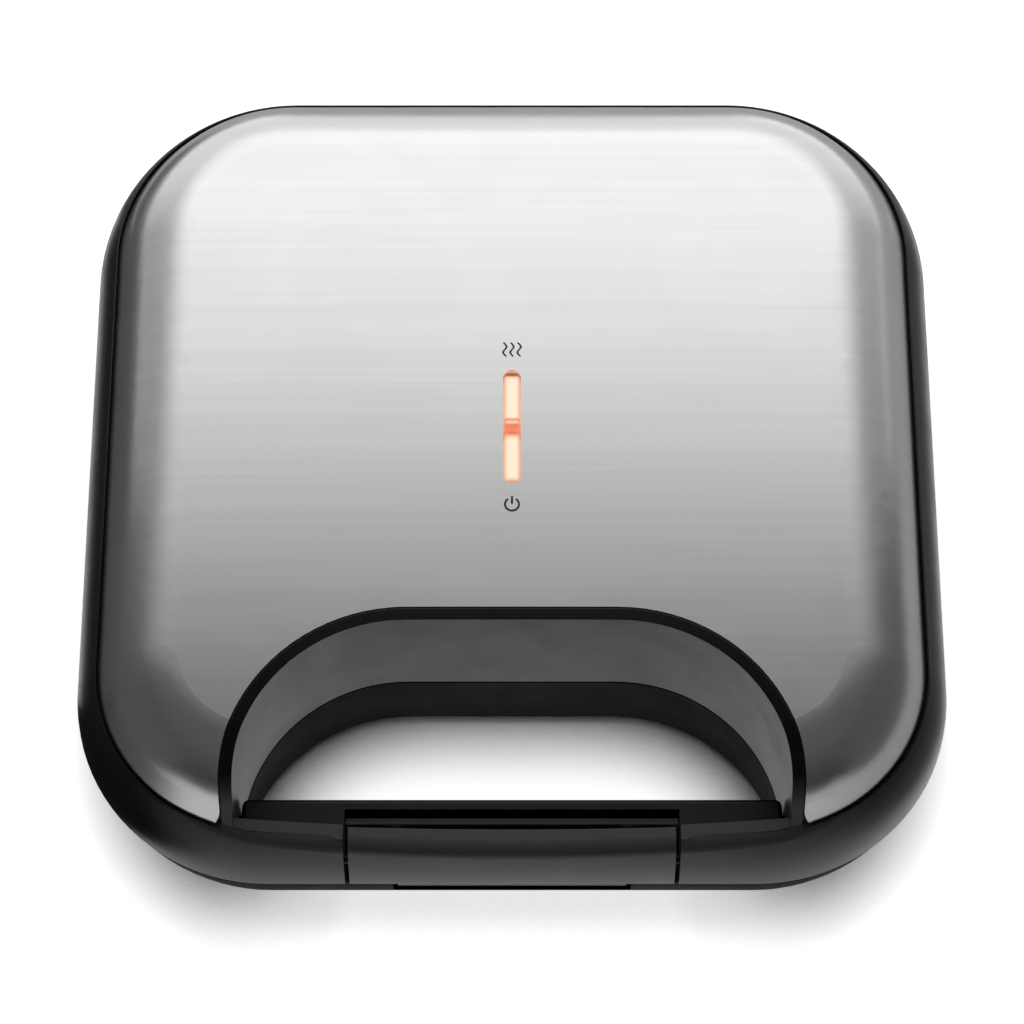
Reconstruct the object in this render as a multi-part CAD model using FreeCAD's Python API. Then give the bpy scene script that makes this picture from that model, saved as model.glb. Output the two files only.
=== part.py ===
import FreeCAD, Part
import math
import os

# Two-slice sandwich maker, in millimetres.
# X runs to the right, Y to the rear and Z up, with the feet standing on Z = 0.

Vec = FreeCAD.Vector
RIGHT = Vec(1, 0, 0)
REAR = Vec(0, 1, 0)
UP = Vec(0, 0, 1)

# Body outline at the parting plane, where it is widest
body_width = 231.0
body_depth = 230.0
front_corner = 52.0
rear_corner = 55.0
rear_trim = 4.0
half_width = body_width / 2

# Heights
foot_height = 8.0
base_height = 31.0
lid_height = 41.0
parting = foot_height + base_height
parting_gap = 0.8
lid_floor = parting + parting_gap / 2
base_roof = parting - parting_gap / 2

# Walls and clearances
wall = 2.4
skin = 2.0
seam = 0.35
free_gap = 0.7
running = 0.06

# Hinge
hinge_offset = 1.0
hinge_drop = 4.0
knuckle_radius = 5.5
pin_radius = 2.0
hinge_x = 62.0
lug_width = 9.2
knuckle_width = 7.0
knuckle_gap = 0.4
hinge_room = 0.6

front = -(body_depth - rear_trim + hinge_offset + knuckle_radius) / 2
back = front + body_depth - rear_trim
hinge_y = back + hinge_offset
hinge_z = parting - hinge_drop

# Lid rim and the dome that carries the steel cover
rim_height = 22.0
rim_inset = 6.4
rim_bulge = 1.6
edge_round = 1.6
dome_inset = 7.6
dome_slope = math.radians(62)
dome_fillet = 1.15 * (lid_height - rim_height)
crown_radius = 4000.0
groove_depth = 1.2
cover_thickness = 0.7
cover_gap = 0.3
tip_round = 2.5
rim_top = parting + rim_height
ledge = rim_top - groove_depth
crown = parting + lid_height
hollow_top = crown + 10
skin_drop = cover_thickness + cover_gap
skin_under = crown - skin_drop - skin

# Base profile below the parting plane
base_step = 1.6
base_turn_inset = 11.5
base_turn_height = 3.0
base_floor_inset = 18.5
base_bulge = 2.4
turn_bulge = 0.77

# Finger opening behind the handle
arch_half = 71.5
arch_rear = 58.2
arch_corner = 44.0
lid_draft = 0.02
base_draft = 0.08
arch_wall = 3.2
bar_depth = 9.8
bar_bow = 1.0
bar_sag = 5.0
bar_round = 4.5
handle_depth = 19.6
handle_drop = 18.0
under_bar_half = 66.0

# Grip behind the bar
grip_height = 12.0
grip_land = 3.0
grip_end_gap = 0.6
grip_corner = 1.8
grip_edge = 1.2
grip_screw_x = 58.0
grip_screw_height = 7.0
grip_screw_radius = 1.4
grip_screw_head = 2.6
grip_screw_head_height = 1.6
grip_screw_bite = 5.0

# Latch
latch_half = 42.2
latch_gap = 1.2
latch_wall = 2.4
latch_drop = 9.0
latch_pivot_depth = 4.4
latch_pivot_height = 8.5
latch_pin_radius = 1.2
latch_boss_radius = 2.4
cheek = 2.4
tongue_half = 30.0
tongue_depth = 3.2
shelf_rise = 1.0
latch_play = 0.3
strike_reach = 2.1
strike_height = 2.4
strike_drop = 2.6
strike_half = 20.0
hook_reach = 1.7
hook_height = 2.8
hook_drop = 5.6
latch_rib_pitch = 22.8
latch_rib = 3.0
latch_recess = tongue_depth + latch_wall + hook_reach + latch_play + strike_reach
backbone_near = 12.6
backbone_depth = 1.7
backbone_height = 11.6
tail_height = grip_height - skin - seam

# Cooking plates
plate_margin = 9.5
plate_front = 65.0
plate_back = 31.0
plate_half = half_width - plate_margin
plate_rear = body_depth - plate_back
plate_corner = 20.0
plate_rim = 6.0
flange = 3.0
plate_wall = 2.5
pocket_depth = 9.0
pocket_slope = math.radians(35)
ridge_half = 3.0
pocket_corner = 9.0
boss_height = 5.0
boss_radius = 5.0
plate_gap = 0.5
cell_width = plate_half - plate_rim - ridge_half
cell_depth = plate_rear - plate_front - 2 * plate_rim
boss_inset = (cell_width + cell_depth - math.hypot(cell_width, cell_depth)) / 2

# Heating elements and what holds them
element_radius = 3.25
element_half = plate_half - 6.8 * element_radius
element_front = plate_front + 7 * element_radius
element_rear = plate_rear - 4 * element_radius
element_lead = 12.0
element_end = plate_rear + 4.0
element_bend = 16.0
cold_pin_radius = 1.0
cold_pin_length = 4.0
clip_thickness = 1.0
clip_width = 10.0
clip_wing = 6.0
clip_pitch = 35.0
clip_front = (element_front + element_rear - clip_pitch) / 2 + 5
clip_rear = clip_front + clip_pitch
reflector_thickness = 0.5
reflector_lip = 3.0
reflector_half = plate_half - 12.0
reflector_front = plate_front + 9.0
reflector_rear = plate_rear - 7.0

# Screws
plate_screw_radius = 1.6
plate_screw_head = 3.4
plate_screw_head_height = 2.4
plate_screw_bite = 3.5
screw_room = 0.2
frame_screw_radius = 1.4
frame_screw_head = 2.7
frame_screw_head_height = 1.3
frame_screw_bite = 9.0
post_radius = 5.5
frame_post_radius = 4.0
frame_post_front_x = plate_half - 8.0
frame_post_front = plate_front - 20.0
frame_post_rear_x = plate_half - 32.0
frame_post_rear = plate_rear + 12.5
spigot_radius = 3.5
frame_thickness = 2.2
frame_gap = 0.8

# Lamps
lamp_forward = 1.5
lamp_centre = body_depth / 2 - lamp_forward
lens_length = 15.8
lens_width = 4.2
lens_pitch = 16.9
lens_shift = 1.2
lens_proud = 0.6
lens_flange = 1.6
lens_flange_half = 6.0
lens_room = 0.2
lamp_radius = 2.6
lamp_length = 13.0
trough_wall = 2.0
trough_depth = 10.0
trough_floor = 2.4
ear_thickness = 2.2
ear_half = 4.5
lamp_screw_radius = 1.2
lamp_screw_head = 2.4
lamp_screw_head_height = 1.5
lamp_screw_bite = 5.0
lamp_post = 9.0
lamp_post_radius = 3.2
lens_seat = skin_under - 0.05 - lens_flange
ear_top = crown - skin_drop - lamp_post

# Feet
foot_radius = 9.0
foot_plug = 3.5
foot_plug_length = 5.0
foot_x = plate_half - 30.0
foot_front = plate_front + 3.0
foot_rear = plate_rear - 9.0
vent_count = 6
vent_length = 52.0
vent_width = 3.0
vent_pitch = 9.0

# Electrics
gland_x = 30.0
gland_z = 21.0
gland_radius = 6.0
gland_bore = 3.6
gland_flange = 8.0
gland_flange_thickness = 2.5
gland_length = 14.0
pad_radius = 8.6
pad_length = 9.0
block_length = 26.0
block_depth = 11.0
block_height = 10.0
block_x = -30.0
block_y = plate_rear + 4.0
block_well = 1.6
wire_run = plate_rear + 12.0
wire_radius = 1.1
loom_radius = 2.5
loom_x = 10.0
loom_gap = 0.25
loom_room = 1.0
loom_near = plate_rear + 15.0
loom_rise = 8.0
loom_run = 15.0
thermostat_x = -24.0
thermostat_radius = 8.0
thermostat_height = 12.0
thermostat_room = 6.0
thermostat_y = plate_front + plate_rim + boss_inset + post_radius + thermostat_radius + thermostat_room
blade_reach = 5.0
blade_half = 0.4
fuse_radius = 2.0
fuse_length = 12.0
fuse_wire_y = thermostat_y + 12.0

plate_floor = pocket_depth + plate_wall
boss_level = plate_floor + boss_height
element_level = plate_floor + element_radius
shelf_level = boss_level + 3.5
well_level = boss_level + 6.0
thermostat_base = lid_floor + plate_floor


# Shared shapes


def at(depth):
    """Y of a point that lies so far behind the front edge."""
    return front + depth


def box(x0, x1, y0, y1, z0, z1):
    return Part.makeBox(x1 - x0, y1 - y0, z1 - z0, Vec(x0, y0, z0))


def rod(radius, start, direction, length):
    return Part.makeCylinder(radius, length, start, direction)


def fused(shapes):
    whole = shapes[0]
    if len(shapes) > 1:
        whole = whole.multiFuse(shapes[1:])
    return whole.removeSplitter()


def both_sides(shape):
    """The shape and its mirror image across the middle plane."""
    return [shape, shape.mirror(Vec(0, 0, 0), RIGHT)]


def flipped(shape):
    """Mirror image across the parting plane, from the base into the lid."""
    return shape.mirror(Vec(0, 0, parting), UP)


def line(a, b):
    return Part.LineSegment(a, b).toShape()


def bulged(a, b, bulge):
    """Arc from a to b whose middle stands off the chord to its left by the bulge, in the YZ plane."""
    chord = b - a
    off = Vec(0, -chord.z, chord.y)
    off.normalize()
    return Part.Arc(a, (a + b) * 0.5 + off * bulge, b).toShape()


def corner_arc(a, centre, b):
    radius = (a - centre).Length
    middle = (a + b) * 0.5 - centre
    middle.normalize()
    return Part.Arc(a, centre + middle * radius, b).toShape()


def rounded_polygon(points, radius, z):
    """Closed wire through the points at one height, each corner rounded."""
    edges = []
    starts = []
    ends = []
    arcs = []
    count = len(points)
    for i in range(count):
        here = Vec(points[i][0], points[i][1], z)
        before = Vec(points[i - 1][0], points[i - 1][1], z) - here
        after = Vec(points[(i + 1) % count][0], points[(i + 1) % count][1], z) - here
        half = before.getAngle(after) / 2
        reach = radius / math.tan(half)
        before.normalize()
        after.normalize()
        inward = before + after
        inward.normalize()
        a = here + before * reach
        b = here + after * reach
        starts.append(a)
        ends.append(b)
        arcs.append(Part.Arc(a, here + inward * (radius / math.sin(half) - radius), b).toShape())
    for i in range(count):
        edges.append(arcs[i])
        edges.append(line(ends[i], starts[(i + 1) % count]))
    return Part.Wire(edges)


def inset_polygon(points, inset):
    """Convex polygon, listed anticlockwise, with every side moved inward."""
    moved = []
    count = len(points)
    for i in range(count):
        p = points[i]
        before = points[i - 1]
        after = points[(i + 1) % count]
        u = Vec(p[0] - before[0], p[1] - before[1], 0)
        v = Vec(after[0] - p[0], after[1] - p[1], 0)
        u.normalize()
        v.normalize()
        turn = u.x * v.y - u.y * v.x
        shift = (v - u) * (inset / turn)
        moved.append((p[0] + shift.x, p[1] + shift.y))
    return moved


def rectangle(x0, x1, y0, y1):
    return [(x0, y0), (x1, y0), (x1, y1), (x0, y1)]


def prism(wire, height):
    return Part.Face(wire).extrude(UP * height)


def rounded_path(points, radius):
    """Open wire through the points with a tangent arc at every bend."""
    edges = []
    start = points[0]
    for i in range(1, len(points) - 1):
        here = points[i]
        before = points[i - 1] - here
        after = points[i + 1] - here
        half = before.getAngle(after) / 2
        reach = radius / math.tan(half)
        before.normalize()
        after.normalize()
        inward = before + after
        inward.normalize()
        a = here + before * reach
        b = here + after * reach
        edges.append(line(start, a))
        edges.append(Part.Arc(a, here + inward * (radius / math.sin(half) - radius), b).toShape())
        start = b
    edges.append(line(start, points[-1]))
    return Part.Wire(edges)


def tube(points, bend, radius):
    """Round bar swept along a bent path."""
    spine = rounded_path(points, bend)
    ring = Part.Wire([Part.Circle(points[0], points[1] - points[0], radius).toShape()])
    return spine.makePipeShell([ring], True, False)


# Outline of the body and its swept rims


def outline(inset, z):
    """Body outline moved inward, starting at the middle of the front edge."""
    side = half_width - inset
    near = front + inset
    far = front + body_depth - inset
    rf = front_corner - inset
    rr = rear_corner - inset
    points = [
        Vec(0, near, z),
        Vec(side - rf, near, z),
        Vec(side, near + rf, z),
        Vec(side, far - rr, z),
        Vec(side - rr, far, z),
        Vec(rr - side, far, z),
        Vec(-side, far - rr, z),
        Vec(-side, near + rf, z),
        Vec(rf - side, near, z),
    ]
    return Part.Wire([
        line(points[0], points[1]),
        corner_arc(points[1], Vec(side - rf, near + rf, z), points[2]),
        line(points[2], points[3]),
        corner_arc(points[3], Vec(side - rr, far - rr, z), points[4]),
        line(points[4], points[5]),
        corner_arc(points[5], Vec(rr - side, far - rr, z), points[6]),
        line(points[6], points[7]),
        corner_arc(points[7], Vec(rf - side, near + rf, z), points[8]),
        line(points[8], points[0]),
    ])


def around(profile, z0, z1, core_inset):
    """Solid made by sweeping a closed profile round the outline and filling its middle."""
    ring = outline(0, parting).makePipeShell([Part.Wire(profile)], True, False)
    core = prism(outline(core_inset - 0.1, z0), z1 - z0)
    return fused([ring, core])


def lid_rim(shift, drop):
    """Swollen rim of the lid up to its top edge; shift and drop give the inner wall."""
    z0 = lid_floor - drop
    z1 = rim_top - drop
    core = 30.0
    foot = Vec(0, at(shift + edge_round), z0)
    side = Vec(0, at(shift), z0 + edge_round)
    top = Vec(0, at(shift + rim_inset), z1)
    inner_top = Vec(0, at(core), z1)
    inner_foot = Vec(0, at(core), z0)
    profile = [
        corner_arc(foot, Vec(0, at(shift + edge_round), z0 + edge_round), side),
        bulged(top, side, -rim_bulge),
        line(top, inner_top),
        line(inner_top, inner_foot),
        line(inner_foot, foot),
    ]
    return around(profile, z0, z1, core)


def base_bowl(shift, rise):
    """Lower body from the parting plane to its floor; shift and rise give the inner wall."""
    z1 = base_roof + rise
    z0 = foot_height + rise
    core = 30.0
    roof = Vec(0, at(shift + base_step + edge_round), z1)
    side = Vec(0, at(shift + base_step), z1 - edge_round)
    turn = Vec(0, at(shift + base_turn_inset), z0 + base_turn_height)
    floor = Vec(0, at(shift + base_floor_inset), z0)
    inner_floor = Vec(0, at(core), z0)
    inner_roof = Vec(0, at(core), z1)
    profile = [
        corner_arc(roof, Vec(0, at(shift + base_step + edge_round), z1 - edge_round), side),
        bulged(turn, side, base_bulge),
        bulged(floor, turn, turn_bulge),
        line(floor, inner_floor),
        line(inner_floor, inner_roof),
        line(inner_roof, roof),
    ]
    return around(profile, z0, z1, core)


def dome_block(drop, z0):
    """Tapered block whose sides are those of the dome moved inward by the drop."""
    lift = crown + 12 - rim_top

    def section(z):
        inset = dome_inset + (z - rim_top) / math.tan(dome_slope) + drop / math.sin(dome_slope)
        return outline(inset, z)

    return Part.makeLoft([section(z0), section(rim_top + lift)], True, True)


def dome(drop, z0):
    """Crowned dome under the steel cover, its rounded top moved inward by the drop."""
    ball = Part.makeSphere(crown_radius - drop)
    ball.translate(Vec(0, at(body_depth / 2), crown - crown_radius))
    block = dome_block(drop, z0).common(ball)
    rim = [edge for edge in block.Edges if edge.BoundBox.ZMin > rim_top + 4]
    return block.makeFillet(dome_fillet - drop, rim)


def behind_back(depth, z0, z1):
    """Space behind a plane that lies this far inside the flat back of both housings."""
    return box(-half_width, half_width, back - depth, back + 3 * rear_trim, z0, z1)


def arch_wire(offset, near, bow, z):
    """Outline of the finger opening, moved outward by the offset, its near edge bowed."""
    side = arch_half + offset
    far = at(arch_rear + offset)
    radius = arch_corner + offset
    end = at(near + bow)
    bend = side - radius
    turn = far - radius
    return Part.Wire([
        Part.Arc(Vec(-side, end, z), Vec(0, at(near), z), Vec(side, end, z)).toShape(),
        line(Vec(side, end, z), Vec(side, turn, z)),
        corner_arc(Vec(side, turn, z), Vec(bend, turn, z), Vec(bend, far, z)),
        line(Vec(bend, far, z), Vec(-bend, far, z)),
        corner_arc(Vec(-bend, far, z), Vec(-bend, turn, z), Vec(-side, turn, z)),
        line(Vec(-side, turn, z), Vec(-side, end, z)),
    ])


def arch_prism(offset, near, bow, z0, z1):
    """Finger opening between two heights on one side of the parting plane, where it is narrowest."""
    draft = lid_draft if z1 > rim_top else -base_draft

    def section(z):
        return arch_wire(offset - lid_draft * lid_height + draft * (z - parting), near, bow, z)

    return Part.makeLoft([section(z0), section(z1)], True, True)


def lid_opening(offset):
    return arch_prism(offset, bar_depth - offset, bar_bow, parting - 2, hollow_top)


def base_opening(offset):
    arch = arch_prism(offset, bar_depth - offset, bar_bow, foot_height - 5, parting + 2)
    bar = box(-half_width, half_width, at(0), at(handle_depth - offset), foot_height - 6, parting + 3)
    arch = arch.cut(bar)
    half = under_bar_half + offset
    under = box(-half, half, at(-2), at(handle_depth + 2), foot_height - 5, parting - handle_drop + offset)
    return fused([arch, under])


# Posts that the plates and the frames are screwed to


def plate_bosses():
    """Plan positions of the four screws of a cooking plate, under the middle of each pocket."""
    cell = plate_cell()
    return [
        (cell[1][0] - boss_inset, cell[1][1] + boss_inset),
        (cell[3][0] + boss_inset, cell[3][1] - boss_inset),
        (boss_inset - cell[1][0], cell[1][1] + boss_inset),
        (-cell[3][0] - boss_inset, cell[3][1] - boss_inset),
    ]


def plate_cell():
    """Corners of the left slice's place on a plate."""
    near = at(plate_front + plate_rim)
    return rectangle(-ridge_half - cell_width, -ridge_half, near, near + cell_depth)


def frame_posts():
    """Plan positions of the four screws of a frame."""
    front_pair = [(-frame_post_front_x, at(frame_post_front)), (frame_post_front_x, at(frame_post_front))]
    rear_pair = [(-frame_post_rear_x, at(frame_post_rear)), (frame_post_rear_x, at(frame_post_rear))]
    return front_pair + rear_pair


def base_posts():
    """Posts on the floor of the base: shouldered for the plate, plain for the frame."""
    posts = []
    for x, y in plate_bosses():
        posts.append(rod(post_radius, Vec(x, y, foot_height), UP, base_roof - shelf_level - foot_height))
        posts.append(rod(spigot_radius, Vec(x, y, foot_height), UP, base_roof - boss_level - foot_height))
    for x, y in frame_posts():
        length = base_roof - frame_thickness - foot_height
        posts.append(rod(frame_post_radius, Vec(x, y, foot_height), UP, length))
    return posts


def lid_posts(solid):
    """The same posts hanging from the skin of the lid."""
    posts = []
    for x, y in plate_bosses():
        posts.append(rod(post_radius, Vec(x, y, lid_floor + shelf_level), UP, lid_height).common(solid))
        posts.append(rod(spigot_radius, Vec(x, y, lid_floor + boss_level), UP, lid_height).common(solid))
    for x, y in frame_posts():
        post = rod(frame_post_radius, Vec(x, y, lid_floor + frame_thickness), UP, lid_height)
        posts.append(post.common(solid))
    return posts


def base_screw_holes():
    holes = []
    for x, y in plate_bosses():
        well = base_roof - well_level
        holes.append(rod(plate_screw_head + screw_room, Vec(x, y, foot_height - 1), UP, well - foot_height + 1))
        holes.append(rod(plate_screw_radius + screw_room, Vec(x, y, foot_height), UP, base_height))
    for x, y in frame_posts():
        holes.append(rod(frame_screw_radius, Vec(x, y, base_roof - frame_thickness), UP * -1, frame_screw_bite))
    return holes


# Upper housing


def cover_cut_out():
    """Finger opening and bar together, where the steel cover is cut away."""
    return arch_prism(arch_wall + seam, -handle_depth, bar_bow, parting - 2, hollow_top)


def bar_rim():
    """Rim of the lid with the top of the bar dipped and its front edge rounded."""
    rim = lid_rim(0, 0).cut(bar_trim(0))
    return rim.makeFillet(bar_round, bar_edges(rim)[:1])


def lid_solid():
    """Everything inside the rim and the outer face of the steel cover."""
    return fused([bar_rim(), dome(0, rim_top - 6)])


def lid_knuckles():
    """Two hinge lugs under the back of the lid."""
    lug = fused([
        rod(knuckle_radius, Vec(hinge_x - lug_width / 2, hinge_y, hinge_z), RIGHT, lug_width),
        box(hinge_x - lug_width / 2, hinge_x + lug_width / 2, hinge_y - 3, hinge_y + 2.5, hinge_z, parting + 7),
    ])
    return both_sides(lug)


def base_knuckles():
    """Two pairs of knuckles on the back of the base, one on each side of every lug."""
    inner = hinge_x - lug_width / 2 - knuckle_gap - knuckle_width
    outer = hinge_x + lug_width / 2 + knuckle_gap
    shapes = []
    for x in (inner, outer):
        shapes.append(fused([
            rod(knuckle_radius, Vec(x, hinge_y, hinge_z), RIGHT, knuckle_width),
            box(x, x + knuckle_width, hinge_y - 8, hinge_y + 1.5, hinge_z - 9, hinge_z),
        ]))
    return both_sides(shapes[0]) + both_sides(shapes[1])


def hinge_bores(radius):
    span = lug_width / 2 + knuckle_gap + knuckle_width
    return both_sides(rod(radius, Vec(hinge_x - span, hinge_y, hinge_z), RIGHT, 2 * span))


def room_for_base_knuckles():
    """Notches in the back of the lid, round the knuckles of the base."""
    inner = hinge_x - lug_width / 2 - 2 * knuckle_gap - knuckle_width
    outer = hinge_x + lug_width / 2
    length = knuckle_width + 2 * knuckle_gap
    shapes = []
    for x in (inner, outer):
        shapes.append(rod(knuckle_radius + hinge_room, Vec(x, hinge_y, hinge_z), RIGHT, length))
    return both_sides(shapes[0]) + both_sides(shapes[1])


def room_for_lid_lugs():
    """Notches in the back of the base, round the lugs of the lid."""
    half = lug_width / 2 + knuckle_gap
    radius = knuckle_radius + hinge_room
    notch = fused([
        rod(radius, Vec(hinge_x - half, hinge_y, hinge_z), RIGHT, 2 * half),
        box(hinge_x - half, hinge_x + half, hinge_y - radius, hinge_y + 10, hinge_z, parting + 1),
    ])
    return both_sides(notch)


def latch_cheeks():
    """Walls at both ends of the latch's gap, which hold its pin."""
    inner = latch_half + latch_gap
    tail = at(backbone_near + backbone_depth)
    wall_block = box(inner, inner + cheek, at(-1), at(bar_depth), lid_floor, rim_top)
    tail_block = box(inner, inner + cheek, at(bar_depth - 1), tail, lid_floor, lid_floor + tail_height)
    return both_sides(fused([wall_block, tail_block]))


def backbone():
    """Bar behind the latch that ties the cheeks together; its upper part fits the slot of the grip."""
    near = at(backbone_near)
    far = at(backbone_near + backbone_depth)
    outer = latch_half + latch_gap + cheek
    inner = latch_half + latch_gap - seam
    return fused([
        box(-outer, outer, near, far, lid_floor, lid_floor + tail_height),
        box(-inner, inner, near, far, lid_floor, lid_floor + backbone_height),
    ])


def bar_trim(drop):
    """What is taken off above the bar so that its top dips towards the middle, or a layer below that."""
    half = arch_half
    radius = (half * half + bar_sag * bar_sag) / (2 * bar_sag)
    drum = rod(radius, Vec(0, at(-2), rim_top - bar_sag - drop + radius), REAR, bar_depth + bar_bow + 2)
    return drum.common(box(-half, half, at(-2), at(bar_depth + bar_bow), parting, hollow_top))


def bar_edges(shape):
    """Long edges of the bar's top, the front one first."""
    low = rim_top - bar_sag - bar_round
    found = [edge for edge in shape.Edges if edge.BoundBox.XLength > arch_half and edge.BoundBox.ZMin > low]
    found = [edge for edge in found if edge.BoundBox.YMax < at(bar_depth + bar_bow + seam)]
    return sorted(found, key=lambda edge: edge.BoundBox.YMin)


def lens_slot(room, z0, z1):
    """Slot for both lamp lenses, rounded at its two ends."""
    half = lens_width / 2 + room
    reach = (lens_pitch + lens_length) / 2 + room
    corners = rectangle(-half, half, at(lamp_centre) - reach, at(lamp_centre) + reach)
    return prism(rounded_polygon(corners, half - 0.05, z0), z1 - z0)


def make_upper_housing():
    solid = lid_solid()
    groove = dome_block(-free_gap, ledge).cut(cover_cut_out())
    shell = fused([bar_rim().cut(groove), dome(skin_drop, rim_top - 6)])
    hollow = fused([lid_rim(wall * 0.7, wall), dome(skin_drop + skin, rim_top - wall - 2)])
    hollow = hollow.cut(behind_back(wall, 0, crown)).cut(bar_trim(wall))
    arch = lid_opening(arch_wall).common(solid)
    inside = fused([lid_rim(0.2, 0), dome(skin_drop, rim_top - 6)])
    shell = fused([shell.cut(hollow), arch] + lid_posts(inside))
    shell = shell.cut(lid_opening(0)).cut(bar_trim(0)).cut(behind_back(0, 0, crown))
    gap = latch_half + latch_gap
    pocket = box(-gap, gap, at(-2), at(bar_depth + bar_bow), parting - 1, hollow_top)
    cheeks = [piece.common(solid).cut(bar_trim(0)) for piece in latch_cheeks()]
    shell = fused([shell.cut(pocket), backbone()] + cheeks + lid_knuckles())
    pin_length = 2 * (gap + cheek)
    pin_start = Vec(-gap - cheek, at(latch_pivot_depth), parting + latch_pivot_height)
    cuts = [rod(latch_pin_radius, pin_start, RIGHT, pin_length)]
    cuts += room_for_base_knuckles()
    cuts += hinge_bores(pin_radius + running)
    cuts.append(lens_slot(0.4, crown - 8, crown + 2))
    slack = loom_radius + loom_room
    loom_top = hinge_z + loom_rise + slack
    cuts.append(box(loom_x - slack, loom_x + slack, at(loom_near), back + 8, parting - 8, loom_top))
    for hole in base_screw_holes():
        cuts.append(flipped(hole))
    cuts += grip_screw_holes()
    for x in (-1, 1):
        cuts.append(rod(lamp_screw_radius, Vec(0, lamp_ear(x), ear_top), UP, lamp_screw_bite))
    shell = fused([shell] + lamp_posts()).cut(Part.makeCompound(cuts))
    return shell


# Grip, the inner part of the handle


def bar_inner_face(x):
    """Depth of the bar's inner face at this distance from the middle, at the parting plane."""
    return bar_depth + bar_bow * (x / arch_half) ** 2


def grip_screw_holes():
    seat = bar_inner_face(grip_screw_x) - arch_wall
    start = Vec(grip_screw_x, at(seat - 1), parting + grip_screw_height)
    return both_sides(rod(grip_screw_radius, start, REAR, 1 + arch_wall + grip_screw_bite))


def make_upper_grip():
    z1 = lid_floor + grip_height
    plan = arch_prism(-grip_end_gap, bar_depth + seam, bar_bow, parting - 2, hollow_top)
    block = plan.common(box(-half_width, half_width, at(0), at(handle_depth), lid_floor, z1))
    uprights = [edge for edge in block.Edges if edge.BoundBox.ZLength > grip_height - 2]
    ends = [edge for edge in uprights if edge.CenterOfMass.y > at(handle_depth - 1)]
    block = block.makeFillet(grip_corner, ends)
    crest = [edge for edge in block.Edges if edge.BoundBox.ZMin > z1 - 0.1]
    rims = [edge for edge in crest if edge.CenterOfMass.y > at(bar_depth + bar_bow + 1)]
    block = block.makeFillet(grip_edge, rims)
    half = grip_screw_x - 5
    channel = box(-half, half, at(bar_depth - 1), at(handle_depth - skin), parting - 1, z1 - skin)
    gap = latch_half + latch_gap
    slot = box(-gap, gap, at(bar_depth - 1), at(handle_depth - grip_land), parting - 1, z1 + 1)
    return block.cut(Part.makeCompound([channel, slot] + grip_screw_holes()))


def make_grip_screws():
    seat = bar_inner_face(grip_screw_x) - arch_wall - 0.15
    z = parting + grip_screw_height
    start = Vec(grip_screw_x, at(seat), z)
    head = rod(grip_screw_head, start, REAR * -1, grip_screw_head_height)
    shank = rod(grip_screw_radius, start, REAR, arch_wall + grip_screw_bite)
    return Part.makeCompound(both_sides(fused([head, shank])))


# Steel cover


def tip_corner():
    """Sliver taken off the cover's right front tip to round it."""
    side = arch_half + arch_wall + seam - lid_draft * (crown - ledge)
    radius = front_corner - dome_inset + groove_depth / math.tan(dome_slope)
    inner = radius - tip_round
    bend_x = half_width - front_corner
    reach = side + tip_round - bend_x
    y = at(front_corner) - math.sqrt(inner * inner - reach * reach)
    block = box(side - 2, bend_x + reach * radius / inner, at(0), y, ledge - 1, crown)
    return block.cut(rod(tip_round, Vec(bend_x + reach, y, ledge - 2), UP, crown - ledge + 4))


def make_steel_cover():
    sheet = dome(0, ledge).cut(dome(cover_thickness, ledge))
    cuts = both_sides(tip_corner()) + [cover_cut_out(), lens_slot(lens_room, crown - 8, crown + 2)]
    return sheet.cut(Part.makeCompound(cuts))


# Latch


def make_latch():
    """Flush plate in the middle of the bar, with a tongue behind it whose hook goes under the base's strike."""
    rim = bar_rim()
    span = box(-latch_half, latch_half, at(-1), at(bar_depth - seam), parting, rim_top)
    plate = rim.common(span).cut(lid_rim(latch_wall, 0).cut(bar_trim(latch_wall)))
    far = at(tongue_depth + latch_wall)
    top = lid_floor + shelf_rise + latch_wall
    shelf = box(-latch_half, latch_half, at(1.0), far, lid_floor + shelf_rise, top).common(rim)
    tongue = box(-tongue_half, tongue_half, at(tongue_depth), far, parting - latch_drop, top)
    hook_top = parting - hook_drop
    hook = box(-strike_half, strike_half, far - 0.5, far + hook_reach, hook_top - hook_height, hook_top)
    pivot = Vec(0, at(latch_pivot_depth), parting + latch_pivot_height)
    ribs = []
    for i in range(4):
        x = (i - 1.5) * latch_rib_pitch
        rib = box(x - latch_rib / 2, x + latch_rib / 2, at(1.0), pivot.y, pivot.z - 4, pivot.z + 4)
        ribs.append(rib.common(rim))
        ribs.append(rod(latch_boss_radius, Vec(x - 4, pivot.y, pivot.z), RIGHT, 8))
    bore = rod(latch_pin_radius + running, pivot - RIGHT * (latch_half + 1), RIGHT, 2 * latch_half + 2)
    return fused([plate, shelf, tongue, hook] + ribs).cut(bore)


def make_latch_pin():
    reach = latch_half + latch_gap + cheek
    start = Vec(-reach, at(latch_pivot_depth), parting + latch_pivot_height)
    return rod(latch_pin_radius, start, RIGHT, 2 * reach)


# Frames that close the housings round the plates


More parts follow.
